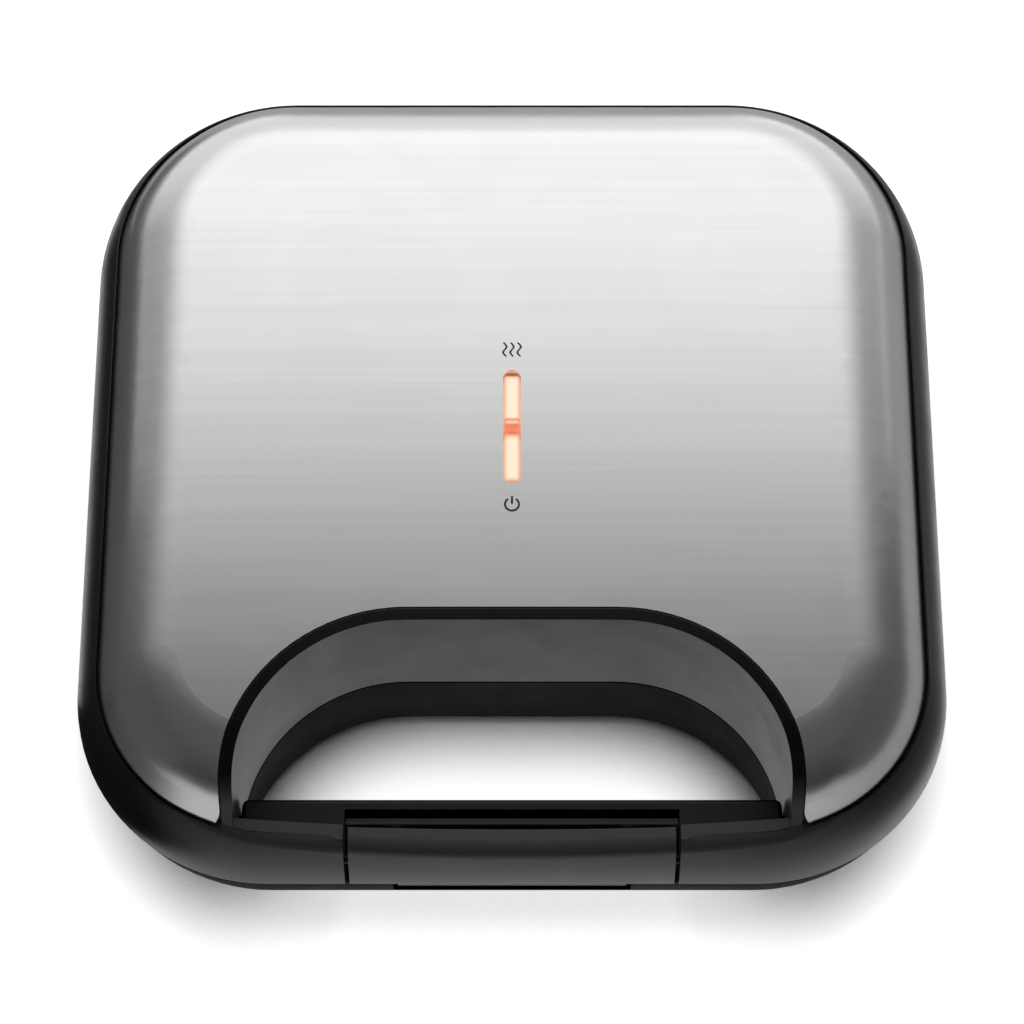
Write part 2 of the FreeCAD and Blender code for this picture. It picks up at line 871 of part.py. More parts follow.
def frame_blank(step, clear):
    """Flat frame under the parting plane of the base, inside a wall that stands back by the step."""
    z0 = base_roof - frame_thickness
    margin = wall + frame_gap
    blank = prism(outline(step + margin, z0), frame_thickness)
    hole = rounded_polygon(rectangle(-plate_half - plate_gap, plate_half + plate_gap,
                                     at(plate_front - plate_gap), at(plate_rear + plate_gap)),
                           plate_corner + plate_gap, z0 - 1)
    cuts = [prism(hole, frame_thickness + 2), clear]
    for x, y in frame_posts():
        cuts.append(rod(frame_screw_radius + screw_room, Vec(x, y, z0 - 1), UP, frame_thickness + 2))
        cuts.append(rod(frame_screw_head + screw_room, Vec(x, y, base_roof - frame_screw_head_height), UP, 5))
    rear = back - margin
    cuts.append(box(-half_width, half_width, rear, rear + 20, z0 - 1, parting))
    notch = hinge_y - knuckle_radius - hinge_room
    reach = hinge_x + lug_width / 2 + knuckle_width + 2
    cuts.append(box(-reach, reach, notch - 0.4, notch + 20, z0 - 1, parting))
    return blank.cut(Part.makeCompound(cuts))


def frame_screws():
    shapes = []
    for x, y in frame_posts():
        seat = base_roof - frame_screw_head_height
        shapes.append(fused([
            rod(frame_screw_head, Vec(x, y, seat), UP, frame_screw_head_height - 0.1),
            rod(frame_screw_radius, Vec(x, y, seat), UP * -1, frame_screw_bite - frame_screw_head_height),
        ]))
    return Part.makeCompound(shapes)


def loom_notch(x):
    slack = loom_radius + loom_room
    return box(x - slack, x + slack, at(loom_near - 6), at(body_depth + 10), parting - 5, parting)


def make_lower_frame():
    bar = box(-half_width, half_width, at(-5), at(handle_depth - wall - seam), 0, parting + 5)
    clear = fused([base_opening(wall + seam).cut(bar), loom_notch(-loom_x)])
    gap = tongue_half + latch_gap
    recess = box(-gap - wall, gap + wall, at(-2), at(latch_recess + wall + seam), 0, parting + 5)
    return frame_blank(base_step, clear).cut(recess)


def make_upper_frame():
    gap = latch_half + latch_gap + cheek + seam
    clear = fused([flipped(lid_opening(arch_wall + seam)), loom_notch(loom_x)])
    room = box(-gap, gap, at(-2), at(bar_depth + 5), 0, parting + 5)
    return flipped(frame_blank(0, clear).cut(room))


# Lower housing


def make_lower_housing():
    solid = base_bowl(0, 0)
    shell = solid.cut(base_bowl(wall * 0.8, wall).cut(behind_back(wall, 0, crown)))
    walls = base_opening(wall).common(solid)
    shell = fused([shell, walls] + [post.common(solid) for post in base_posts()])
    shell = shell.cut(base_opening(0))
    gap = tongue_half + latch_gap
    low = parting - latch_drop - free_gap * 2
    backing = box(-gap - wall, gap + wall, at(0), at(latch_recess + wall), low - wall, base_roof).common(solid)
    recess = box(-gap, gap, at(-2), at(latch_recess), low, parting + 1)
    strike_top = parting - strike_drop
    strike = box(-strike_half, strike_half, at(latch_recess - strike_reach), at(latch_recess + 0.5),
                 strike_top - strike_height, strike_top)
    shell = fused([fused([shell, backing]).cut(recess), strike])
    pad = rod(pad_radius, Vec(gland_x, back - pad_length, gland_z), REAR, pad_length)
    shell = shell.cut(behind_back(0, 0, parting))
    shell = fused([shell, pad] + base_knuckles())
    cuts = room_for_lid_lugs() + hinge_bores(pin_radius) + base_screw_holes()
    cuts.append(rod(gland_radius, Vec(gland_x, back - gland_length, gland_z), REAR, 2 * gland_length))
    cuts.append(rod(loom_radius + hinge_room, Vec(-loom_x - 4, hinge_y, hinge_z), RIGHT, 2 * loom_x + 8))
    cuts.append(rod(loom_radius + hinge_room, Vec(-loom_x, at(loom_near), hinge_z), REAR, 14))
    slack = loom_radius + loom_room
    cuts.append(box(loom_x - slack, loom_x + slack, at(loom_near), back + 5, hinge_z - slack, parting + 1))
    for x, y in foot_places():
        cuts.append(rod(foot_plug, Vec(x, y, foot_height - 1), UP, wall + 2))
    cuts += vents()
    return shell.cut(Part.makeCompound(cuts))


def foot_places():
    return [(x, at(y)) for y in (foot_front, foot_rear) for x in (-foot_x, foot_x)]


def vents():
    slots = []
    first = at((foot_front + foot_rear) / 2) - vent_pitch * (vent_count - 1) / 2
    for i in range(vent_count):
        y = first + i * vent_pitch
        corners = rectangle(-vent_length / 2, vent_length / 2, y - vent_width / 2, y + vent_width / 2)
        slots.append(prism(rounded_polygon(corners, vent_width / 2 - 0.05, foot_height - 1), wall + 2))
    return slots


def make_foot(x, y):
    pad = rod(foot_radius, Vec(x, y, 0), UP, foot_height)
    pad = pad.makeChamfer(1.2, [edge for edge in pad.Edges if edge.BoundBox.ZMax < 0.1])
    return pad.fuse(rod(foot_plug, Vec(x, y, foot_height), UP, foot_plug_length)).removeSplitter()


# Cooking plates, modelled in the base


def pocket_triangles():
    a, b, c, d = plate_cell()
    left = [[a, b, c], [a, c, d]]
    right = []
    for triangle in left:
        right.append([(-x, y) for x, y in reversed(triangle)])
    return left + right


def pocket(triangle, grow, depth, top):
    """Tapered triangular hollow, grown outward for its shell."""
    run = depth * math.tan(pocket_slope)
    upper = inset_polygon(triangle, ridge_half * 0.7 - grow)
    lower = inset_polygon(triangle, ridge_half * 0.7 - grow + run)
    z = base_roof
    return Part.makeLoft([
        rounded_polygon(upper, pocket_corner, z + top),
        rounded_polygon(lower, pocket_corner * 0.6, z - depth),
    ], True, True)


def cooking_plate():
    z0 = base_roof - flange
    rim = rounded_polygon(rectangle(-plate_half, plate_half, at(plate_front), at(plate_rear)), plate_corner, z0)
    body = [prism(rim, flange)]
    for triangle in pocket_triangles():
        body.append(pocket(triangle, plate_wall * 0.75, plate_floor, -0.5))
    for x, y in plate_bosses():
        body.append(rod(boss_radius, Vec(x, y, base_roof - boss_level), UP, boss_height + 1))
    cuts = []
    for triangle in pocket_triangles():
        cuts.append(pocket(triangle, 0, pocket_depth, 0))
    for x, y in plate_bosses():
        cuts.append(rod(plate_screw_radius, Vec(x, y, base_roof - boss_level - 1), UP, plate_screw_bite + 1.5))
    return fused(body).cut(Part.makeCompound(cuts))


def plate_screws():
    shapes = []
    for x, y in plate_bosses():
        seat = base_roof - well_level
        length = well_level - boss_level + plate_screw_bite
        shapes.append(fused([
            rod(plate_screw_head, Vec(x, y, seat - plate_screw_head_height), UP, plate_screw_head_height),
            rod(plate_screw_radius, Vec(x, y, seat), UP, length),
        ]))
    return Part.makeCompound(shapes)


# Heating elements, clips and reflectors, modelled in the base


def heating_element():
    z = base_roof - element_level
    points = [
        Vec(-element_lead, at(element_end), z),
        Vec(-element_lead, at(element_rear), z),
        Vec(-element_half, at(element_rear), z),
        Vec(-element_half, at(element_front), z),
        Vec(element_half, at(element_front), z),
        Vec(element_half, at(element_rear), z),
        Vec(element_lead, at(element_rear), z),
        Vec(element_lead, at(element_end), z),
    ]
    bar = tube(points, element_bend * 0.5, element_radius)
    pin = rod(cold_pin_radius, Vec(element_lead, at(element_end - 1), z), REAR, cold_pin_length + 1)
    return fused([bar] + both_sides(pin))


def element_clips():
    top = base_roof - plate_floor
    inner = element_radius + 0.05
    outer = inner + clip_thickness
    clips = []
    low = top - 2 * element_radius
    for y in (at(clip_front), at(clip_rear)):
        near = y - clip_width / 2
        far = y + clip_width / 2
        strap = box(-outer, outer, near, far, low - clip_thickness, top)
        strap = strap.cut(box(-inner, inner, near - 1, far + 1, low, top + 1))
        wing = box(inner, outer + clip_wing, near, far, top - clip_thickness, top)
        clip = fused([strap, wing])
        clip.translate(RIGHT * -element_half)
        clips += both_sides(clip)
    return Part.makeCompound(clips)


def reflector(extra):
    z0 = base_roof - shelf_level
    corners = rectangle(-reflector_half, reflector_half, at(reflector_front), at(reflector_rear))
    corner = plate_corner * 0.7
    tray = prism(rounded_polygon(corners, corner, z0), reflector_lip)
    floor = z0 + reflector_thickness
    inner = rounded_polygon(inset_polygon(corners, reflector_thickness), corner - reflector_thickness, floor)
    cuts = [prism(inner, reflector_lip)] + extra
    near = element_lead - element_radius - 1.25
    far = element_lead + element_radius + 1.25
    cuts += both_sides(box(near, far, at(reflector_rear - 3), at(reflector_rear + 3), floor, z0 + 10))
    for x, y in plate_bosses():
        cuts.append(rod(spigot_radius + screw_room, Vec(x, y, z0 - 1), UP, reflector_lip))
    return tray.cut(Part.makeCompound(cuts))


# Hinge pins and loom


def make_hinge_pin(side):
    span = lug_width / 2 + knuckle_gap + knuckle_width
    return rod(pin_radius, Vec(side * hinge_x - span, hinge_y, hinge_z), RIGHT, 2 * span)


def make_base_loom():
    return tube([
        Vec(-loom_gap, hinge_y, hinge_z),
        Vec(-loom_x, hinge_y, hinge_z),
        Vec(-loom_x, hinge_y - loom_run, hinge_z),
    ], 4.0, loom_radius)


def make_lid_loom():
    return tube([
        Vec(loom_gap, hinge_y, hinge_z),
        Vec(loom_x, hinge_y, hinge_z),
        Vec(loom_x, hinge_y, hinge_z + loom_rise),
        Vec(loom_x, hinge_y - loom_run, hinge_z + loom_rise),
    ], 3.5, loom_radius)


# Electrics of the base


def make_cord_gland():
    inner_end = back + gland_flange_thickness - gland_length
    body = rod(gland_radius, Vec(gland_x, inner_end, gland_z), REAR, gland_length)
    collar = rod(gland_flange, Vec(gland_x, back, gland_z), REAR, gland_flange_thickness)
    collar = collar.makeChamfer(0.8, [e for e in collar.Edges if e.BoundBox.YMin > back + 1])
    gland = fused([body, collar])
    return gland.cut(rod(gland_bore, Vec(gland_x, back - gland_length, gland_z), REAR, 2 * gland_length))


def block_poles():
    return [block_x + i * block_length / 3.3 for i in (-1, 0, 1)]


def make_terminal_block():
    z0 = foot_height + wall
    y0 = at(block_y) - block_depth / 2
    half = block_length / 2
    block = box(block_x - half, block_x + half, y0, y0 + block_depth, z0, z0 + block_height)
    wells = [rod(block_well, Vec(x, at(block_y) - 2.2, z0 + 5), UP, block_height) for x in block_poles()]
    return block.cut(Part.makeCompound(wells))


def make_base_wiring():
    z0 = foot_height + wall + block_height
    z = base_roof - element_level
    y = at(block_y) + 2.4
    run = at(wire_run)
    pin = at(element_end + cold_pin_length)
    poles = block_poles()
    far = element_lead
    high = z + 4
    paths = [
        [Vec(poles[0], y, z0), Vec(poles[0], y, z), Vec(poles[0], run, z), Vec(-far, run, z),
         Vec(-far, pin, z)],
        [Vec(poles[1], y, z0), Vec(poles[1], y, high), Vec(poles[1], run, high), Vec(far, run, high),
         Vec(far, run, z), Vec(far, pin, z)],
        [Vec(poles[2], y, z0), Vec(poles[2], y, hinge_z), Vec(-loom_x, y, hinge_z),
         Vec(-loom_x, hinge_y - loom_run, hinge_z)],
    ]
    return Part.makeCompound([tube(path, 1.3, wire_radius) for path in paths])


# Lamps of the lid


def lamp_ear(side):
    """Y of the lamp holder's fixing post in front of or behind the lamps."""
    return at(lamp_centre) + side * (lens_pitch / 2 + lens_length / 2 + trough_wall + 5.2)


def lamp_posts():
    length = lamp_post - skin + 0.8
    return [rod(lamp_post_radius, Vec(0, lamp_ear(x), ear_top), UP, length) for x in (-1, 1)]


def make_lens(side):
    """Clear lens with a flange under the skin; the rear one is the longer by twice the shift."""
    mid = at(lamp_centre) + side * lens_pitch / 2 - lens_shift / 2
    half = lens_width / 2
    reach = (lens_length + side * lens_shift) / 2
    low = lens_seat
    corners = rectangle(-half, half, mid - reach, mid + reach)
    stem = prism(rounded_polygon(corners, half * 0.7, low), crown + lens_proud - low)
    crest = [edge for edge in stem.Edges if edge.BoundBox.ZMin > crown]
    stem = stem.makeFillet(0.9, crest)
    near = mid - reach - 0.4
    far = mid + reach + 0.4
    collar = box(-lens_flange_half, lens_flange_half, near, far, low, low + lens_flange)
    return stem.fuse(collar).removeSplitter()


def make_lamp_holder():
    top = lens_seat
    reach = (lens_pitch + lens_length) / 2 + trough_wall
    half = lens_flange_half + 0.6
    y = at(lamp_centre)
    trough = box(-half, half, y - reach, y + reach, top - trough_depth, top)
    half_in = half - trough_wall
    reach_in = reach - trough_wall
    floor = top - trough_depth + trough_floor
    trough = trough.cut(box(-half_in, half_in, y - reach_in, y + reach_in, floor, top + 1))
    ears = []
    for side in (-1, 1):
        near, far = sorted((lamp_ear(side) - side * 6, lamp_ear(side) + side * ear_half))
        ears.append(box(-ear_half, ear_half, near, far, ear_top - ear_thickness, ear_top))
    holes = []
    for side in (-1, 1):
        holes.append(rod(lamp_screw_radius + screw_room, Vec(0, lamp_ear(side), ear_top - 5), UP, 10))
    return fused([trough] + ears).cut(Part.makeCompound(holes))


def make_lamp_screws():
    shapes = []
    for side in (-1, 1):
        seat = Vec(0, lamp_ear(side), ear_top - ear_thickness)
        head = rod(lamp_screw_head, seat, UP * -1, lamp_screw_head_height)
        shapes.append(fused([head, rod(lamp_screw_radius, seat, UP, lamp_screw_bite)]))
    return Part.makeCompound(shapes)


def make_lamp(side):
    mid = at(lamp_centre) + side * lens_pitch / 2
    z = lens_seat - trough_depth + trough_floor + lamp_radius
    bulb = rod(lamp_radius, Vec(0, mid - lamp_length / 2, z), REAR, lamp_length)
    end = [edge for edge in bulb.Edges if abs(edge.CenterOfMass.y - mid - side * lamp_length / 2) < 0.1]
    return bulb.makeFillet(1.6, end[:1])


# Controls of the lid


def make_thermostat():
    body = rod(thermostat_radius, Vec(thermostat_x, at(thermostat_y), thermostat_base), UP, thermostat_height)
    stem = rod(3.0, Vec(thermostat_x, at(thermostat_y), thermostat_base + thermostat_height), UP, 2.0)
    blades = []
    top = thermostat_base + thermostat_height
    near = at(thermostat_y - 2)
    far = at(thermostat_y + 2)
    for x in (thermostat_x - blade_reach, thermostat_x + blade_reach):
        blades.append(box(x - blade_half, x + blade_half, near, far, top - 1, top + 6))
    return fused([body, stem] + blades)


def make_thermal_fuse():
    z = thermostat_base + fuse_radius
    y = at(thermostat_y - fuse_length / 2)
    body = rod(fuse_radius, Vec(-thermostat_x, y, z), REAR, fuse_length)
    leads = rod(0.6, Vec(-thermostat_x, y - 3, z), REAR, fuse_length + 6)
    return fused([body, leads])


def control_holes():
    """Holes in the lid's reflector for the thermostat and for the wire of the fuse."""
    z = base_roof - shelf_level - 5
    return [
        rod(thermostat_radius + 1.2, Vec(thermostat_x, at(thermostat_y), z), UP, 15),
        rod(wire_radius + 1.2, Vec(-thermostat_x, at(fuse_wire_y), z), UP, 15),
    ]


def make_lid_wiring():
    z = lid_floor + element_level
    y = at(wire_run - 2)
    pin = at(element_end + cold_pin_length)
    loom_end = hinge_y - loom_run
    zl = hinge_z + loom_rise
    high = thermostat_base + thermostat_height + 3
    blade = at(thermostat_y)
    blade_end = blade_reach + blade_half
    near = loom_x - 1.2
    far = loom_x + 1.2
    inner = thermostat_x + 11
    outer = thermostat_x - 12
    fuse = thermostat_base + fuse_radius
    rise = at(fuse_wire_y)
    lamp_end = lens_seat - trough_depth + wire_radius / 2
    paths = [
        [Vec(far, loom_end, zl), Vec(far, y + 1.5, zl), Vec(far, y + 1.5, z), Vec(far, pin, z)],
        [Vec(near, loom_end, zl), Vec(near, y, zl), Vec(near, y, high), Vec(inner, y, high),
         Vec(inner, blade, high), Vec(thermostat_x + blade_end, blade, high)],
        [Vec(thermostat_x - blade_end, blade, high), Vec(outer, blade, high), Vec(outer, y, high),
         Vec(outer, y, z), Vec(-element_lead, y, z), Vec(-element_lead, pin, z)],
        [Vec(-thermostat_x, at(thermostat_y + fuse_length / 2 + 3), fuse), Vec(-thermostat_x, rise, fuse),
         Vec(-thermostat_x, rise, lamp_end), Vec(lens_flange_half + 0.6, rise, lamp_end)],
    ]
    return Part.makeCompound([tube(path, 1.3, wire_radius) for path in paths])


# Export


def make_all():
    nodes = {
        "lower_housing": make_lower_housing(),
        "lower_frame": make_lower_frame(),
        "lower_frame_screws": frame_screws(),
        "lower_cooking_plate": cooking_plate(),
        "lower_plate_screws": plate_screws(),
        "lower_heating_element": heating_element(),
        "lower_element_clips": element_clips(),
        "lower_reflector": reflector([]),
        "hinge_pin_left": make_hinge_pin(-1),
        "hinge_pin_right": make_hinge_pin(1),
        "base_loom": make_base_loom(),
        "base_wiring": make_base_wiring(),
        "terminal_block": make_terminal_block(),
        "cord_gland": make_cord_gland(),
        "upper_housing": make_upper_housing(),
        "steel_cover": make_steel_cover(),
        "upper_grip": make_upper_grip(),
        "grip_screws": make_grip_screws(),
        "upper_frame": make_upper_frame(),
        "upper_frame_screws": flipped(frame_screws()),
        "upper_cooking_plate": flipped(cooking_plate()),
        "upper_plate_screws": flipped(plate_screws()),
        "upper_heating_element": flipped(heating_element()),
        "upper_element_clips": flipped(element_clips()),
        "upper_reflector": flipped(reflector(control_holes())),
        "ready_lens": make_lens(1),
        "power_lens": make_lens(-1),
        "ready_lamp": make_lamp(1),
        "power_lamp": make_lamp(-1),
        "lamp_holder": make_lamp_holder(),
        "lamp_screws": make_lamp_screws(),
        "thermostat": make_thermostat(),
        "thermal_fuse": make_thermal_fuse(),
        "lid_loom": make_lid_loom(),
        "lid_wiring": make_lid_wiring(),
        "latch": make_latch(),
        "latch_pin": make_latch_pin(),
    }
    corners = ("front_left", "front_right", "rear_left", "rear_right")
    for corner, (x, y) in zip(corners, foot_places()):
        nodes["foot_" + corner] = make_foot(x, y)
    return nodes


os.makedirs("parts", exist_ok=True)
for name, shape in make_all().items():
    shape.exportStep("parts/" + name + ".step")
    print(name, shape.isValid(), len(shape.Solids), round(shape.Volume))
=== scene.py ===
import math
import bmesh
import bpy
from mathutils import Matrix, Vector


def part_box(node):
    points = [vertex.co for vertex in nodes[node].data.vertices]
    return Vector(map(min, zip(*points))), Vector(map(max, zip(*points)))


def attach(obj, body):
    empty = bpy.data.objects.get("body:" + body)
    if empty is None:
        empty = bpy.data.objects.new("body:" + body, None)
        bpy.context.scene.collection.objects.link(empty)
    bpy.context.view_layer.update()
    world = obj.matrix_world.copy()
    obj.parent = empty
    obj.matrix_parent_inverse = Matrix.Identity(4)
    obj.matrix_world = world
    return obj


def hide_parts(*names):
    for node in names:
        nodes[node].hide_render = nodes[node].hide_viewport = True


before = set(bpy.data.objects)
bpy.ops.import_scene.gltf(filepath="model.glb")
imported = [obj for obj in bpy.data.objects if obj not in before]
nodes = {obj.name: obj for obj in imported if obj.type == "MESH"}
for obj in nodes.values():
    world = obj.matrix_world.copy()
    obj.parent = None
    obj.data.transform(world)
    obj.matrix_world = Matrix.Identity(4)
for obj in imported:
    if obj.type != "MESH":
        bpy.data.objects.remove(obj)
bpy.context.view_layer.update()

# Feet
# Four moulded rubber pads, each with a rounded tread ring round a shallow hollow that grips the worktop.
# A plug on the back of each pad is pressed into a hole in the floor of the base.


def add_node(tree, kind, inputs=None, **settings):
    """A node with its settings made and its inputs filled from values or from other sockets."""
    node = tree.nodes.new(kind)
    for name, value in settings.items():
        setattr(node, name, value)
    for key, value in (inputs or {}).items():
        if isinstance(value, bpy.types.NodeSocket):
            tree.links.new(value, node.inputs[key])
        else:
            node.inputs[key].default_value = value
    return node


def new_material(name, fixed):
    """A Principled material with the values that are the same all over its surface."""
    material = bpy.data.materials.new(name)
    material.use_nodes = True
    tree = material.node_tree
    shader = tree.nodes["Principled BSDF"]
    for socket, value in fixed.items():
        shader.inputs[socket].default_value = value
    return material, tree, shader


def feed(tree, shader, **sockets):
    """Links varying values to the shader; an underscore in a name stands for a space."""
    for name, socket in sockets.items():
        tree.links.new(socket, shader.inputs[name.replace("_", " ")])


def object_point(tree, scale=(1, 1, 1), place=(0, 0, 0)):
    """Object coordinates, scaled and then moved."""
    point = add_node(tree, "ShaderNodeTexCoord").outputs["Object"]
    inputs = {"Vector": point, "Scale": scale, "Location": place}
    return add_node(tree, "ShaderNodeMapping", inputs).outputs[0]


def noise(tree, point, scale, detail=2.0, roughness=0.5, distortion=0.0):
    """Smooth random value with so many cells in a metre."""
    inputs = {"Vector": point, "Scale": scale, "Detail": detail, "Roughness": roughness,
              "Distortion": distortion}
    return add_node(tree, "ShaderNodeTexNoise", inputs).outputs[0]


def spread(tree, value, low, high, start=0.0, end=1.0):
    """The value's stretch from start to end, laid over the stretch from low to high."""
    inputs = {"Value": value, "From Min": start, "From Max": end, "To Min": low, "To Max": high}
    return add_node(tree, "ShaderNodeMapRange", inputs).outputs[0]


def blend(tree, mask, plain, marked):
    """Colour that goes from plain to marked as the mask rises."""
    return add_node(tree, "ShaderNodeMix", {0: mask, 6: plain, 7: marked}, data_type="RGBA").outputs[2]


def bump(tree, height, depth, strength=1.0, normal=None):
    """Normal of a surface with this relief, so many metres deep."""
    inputs = {"Height": height, "Distance": depth, "Strength": strength}
    if normal is not None:
        inputs["Normal"] = normal
    return add_node(tree, "ShaderNodeBump", inputs).outputs[0]


def grey(level, warm=1.0, cool=1.0):
    """Grey of this level, with its red and its blue turned up or down."""
    return (level * warm, level, level * cool, 1)


def new_group(name, inputs, outputs):
    """Empty shader group with named sockets, and its two end nodes."""
    group = bpy.data.node_groups.new(name, "ShaderNodeTree")
    for socket, kind in inputs.items():
        group.interface.new_socket(socket, in_out="INPUT", socket_type="NodeSocket" + kind)
    for socket, kind in outputs.items():
        group.interface.new_socket(socket, in_out="OUTPUT", socket_type="NodeSocket" + kind)
    return group, group.nodes.new("NodeGroupInput").outputs, group.nodes.new("NodeGroupOutput").inputs


moulded_grain, grain_in, grain_out = new_group(
    "moulded_grain", {"Point": "Vector", "Cells": "Float"}, {"Height": "Float", "Mottle": "Float"})
cloud_cells = 70.0
relief = noise(moulded_grain, grain_in["Point"], grain_in["Cells"], 2.0, 0.6)
moulded_grain.links.new(relief, grain_out["Height"])
clouds = noise(moulded_grain, grain_in["Point"], cloud_cells, 4.0, 0.55, 0.4)
moulded_grain.links.new(clouds, grain_out["Mottle"])


def grain_of(tree, cells):
    """Fine relief and soft cloudiness of a moulded surface."""
    inputs = {"Point": object_point(tree), "Cells": cells}
    group = add_node(tree, "ShaderNodeGroup", inputs, node_tree=moulded_grain)
    return group.outputs["Height"], group.outputs["Mottle"]


def turned(profile, steps=48):
    """Solid turned about Z from points of radius and height; a profile off the axis closes on itself."""
    shape = bmesh.new()
    points = [shape.verts.new((radius, 0, height)) for radius, height in profile]
    ends = points[1:] if profile[0][0] == 0 else points[1:] + points[:1]
    edges = [shape.edges.new(pair) for pair in zip(points, ends)]
    bmesh.ops.spin(shape, geom=points + edges, cent=(0, 0, 0), axis=(0, 0, 1), angle=math.tau,
                   steps=steps, use_merge=True, use_duplicate=False)
    bmesh.ops.remove_doubles(shape, verts=shape.verts, dist=1e-7)
    bmesh.ops.recalc_face_normals(shape, faces=shape.faces)
    return shape


def make_piece(shape, name, body, material, edge=0.0, replaced=()):
    """Object of a finished shape, with its edges softened, that rides on a body."""
    mesh = bpy.data.meshes.new(name)
    shape.to_mesh(mesh)
    shape.free()
    mesh.materials.append(material)
    mesh.shade_smooth()
    piece = bpy.data.objects.new(name, mesh)
    bpy.context.scene.collection.objects.link(piece)
    if edge:
        soft = piece.modifiers.new("soft_edges", "BEVEL")
        soft.width = edge
        soft.segments = 3
        soft.limit_method = "ANGLE"
        soft.harden_normals = True
    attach(piece, body)
    if replaced:
        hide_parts(*replaced)
    return piece


foot_rubber, tree, shader = new_material("foot_rubber", {"Specular IOR Level": 0.35})
relief, mottle = grain_of(tree, 2500.0)
dust = noise(tree, object_point(tree), 420.0, 3.0)
feed(tree, shader,
     Base_Color=blend(tree, spread(tree, dust, 0, 1, 0.45, 0.75), grey(0.015), grey(0.034, 1.05)),
     Roughness=spread(tree, mottle, 0.62, 0.82),
     Normal=bump(tree, relief, 0.00006))

tread_width = 0.0028
tread_hollow = 0.0012
tread_slope = 0.001
pad_round = 0.0012
pad_top = 0.008
neck_depth = 0.0008
neck_height = 0.002
neck_slope = 0.0004
plug_radius = 0.0035
for corner in ("front_left", "front_right", "rear_left", "rear_right"):
    low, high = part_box("foot_" + corner)
    radius = (high.x - low.x) / 2
    foot = turned([
        (0, tread_hollow), (radius - tread_width - tread_slope, tread_hollow), (radius - tread_width, 0),
        (radius - pad_round, 0), (radius, pad_round), (radius, pad_top - neck_height - neck_slope),
        (radius - neck_depth, pad_top - neck_height), (radius - neck_depth, pad_top),
        (plug_radius, pad_top), (plug_radius, high.z), (0, high.z)])
    bmesh.ops.translate(foot, verts=foot.verts, vec=((low.x + high.x) / 2, (low.y + high.y) / 2, low.z))
    make_piece(foot, "foot_pad_" + corner, "base", foot_rubber, 0.0003, ["foot_" + corner])

# Lower housing
# Black shell of the base, injection moulded in heat-resistant plastic with a dull face.
# Its vents, posts, knuckles and strike are moulded in one piece with it.


def dress(material, *names):
    """Gives CAD nodes their finish."""
    for name in names:
        nodes[name].data.materials.clear()
        nodes[name].data.materials.append(material)


def computed(tree, operation, *values):
    """Result of a calculation with values or sockets."""
    return add_node(tree, "ShaderNodeMath", dict(enumerate(values)), operation=operation).outputs[0]


# Bevel mask of sharp edges, broken up by noise; materials that paint their edges paler with it paint a
# highlight there, and on the nonstick coat it stands for the thinner coat on the ridges.
soft_edge, edge_in, edge_out = new_group(
    "soft_edge", {"Point": "Vector", "Width": "Float"}, {"Mask": "Float", "Normal": "Vector"})
rounded = add_node(soft_edge, "ShaderNodeBevel", {"Radius": edge_in["Width"]}, samples=4).outputs[0]
facing = add_node(soft_edge, "ShaderNodeNewGeometry").outputs["Normal"]
turn = add_node(soft_edge, "ShaderNodeVectorMath", {0: rounded, 1: facing},
                operation="DOT_PRODUCT").outputs["Value"]
broken = spread(soft_edge, noise(soft_edge, edge_in["Point"], 900.0, 3.0), 0.55, 1.0, 0.35, 0.6)
highlight_and_thin_coat = computed(soft_edge, "MULTIPLY", spread(soft_edge, turn, 1, 0, 0.84, 0.99), broken)
soft_edge.links.new(highlight_and_thin_coat, edge_out["Mask"])
soft_edge.links.new(rounded, edge_out["Normal"])


def edges_of(tree, width):
    """Mask of a piece's sharp edges, painted paler as a highlight on most pieces, and its normal with those
    edges rounded.
    """
    inputs = {"Point": object_point(tree), "Width": width}
    group = add_node(tree, "ShaderNodeGroup", inputs, node_tree=soft_edge)
    return group.outputs["Mask"], group.outputs["Normal"]


painted_light_level = 0.12
bar_roughness = 0.43
painted_shade_darkening = 0.3
polished_smoothing = 0.4
grain_depth = 0.000012


def satin_plastic(name, dark, pale, smooth, rough, cells, edge_width, edge_level, specular=0.5,
                  polished_shaded_place=None, painted_light_place=None):
    """Moulded plastic, cloudy and finely grained, with its edges painted paler as a painted highlight;
    the faces of one mask are painted paler with painted light and made rougher, those of the other painted
    darker with painted shade and made smoother."""
    material, tree, shader = new_material(name, {"IOR": 1.5, "Specular IOR Level": specular})
    relief, mottle = grain_of(tree, cells)
    mask, rounded = edges_of(tree, edge_width)
    body = blend(tree, mottle, grey(dark), grey(pale, 1.0, 1.03))
    roughness = spread(tree, mottle, smooth, rough, 0.3, 0.7)
    for place, level, sheen in (
            (painted_light_place, painted_light_level, bar_roughness),
            (polished_shaded_place, dark * painted_shade_darkening, smooth * polished_smoothing)):
        if place:
            share = place(tree)
            body = blend(tree, share, body, grey(level))
            roughness = add_node(tree, "ShaderNodeMix", {0: share, 2: roughness, 3: sheen}).outputs[0]
    feed(tree, shader,
         Base_Color=blend(tree, mask, body, grey(edge_level)),
         Roughness=roughness,
         Normal=bump(tree, relief, grain_depth, 0.6, rounded))
    return material


housing_plastic = satin_plastic(
    "housing_plastic", dark=0.006, pale=0.009, smooth=0.72, rough=0.82, cells=5200.0,
    edge_width=0.0004, edge_level=0.014, specular=0.08)
dress(housing_plastic, "lower_housing")

# Mains inlet
# Flexible bush that the supply lead would pass through, pushed into the back of the base.
# It is turned with a rounded collar, two grip grooves inside the wall and a flared bore.

bush_rubber, tree, shader = new_material("bush_rubber", {"Specular IOR Level": 0.4})
relief, mottle = grain_of(tree, 3400.0)
feed(tree, shader,
     Base_Color=blend(tree, mottle, grey(0.012), grey(0.022)),
     Roughness=spread(tree, mottle, 0.5, 0.66),
     Normal=bump(tree, relief, 0.00003))

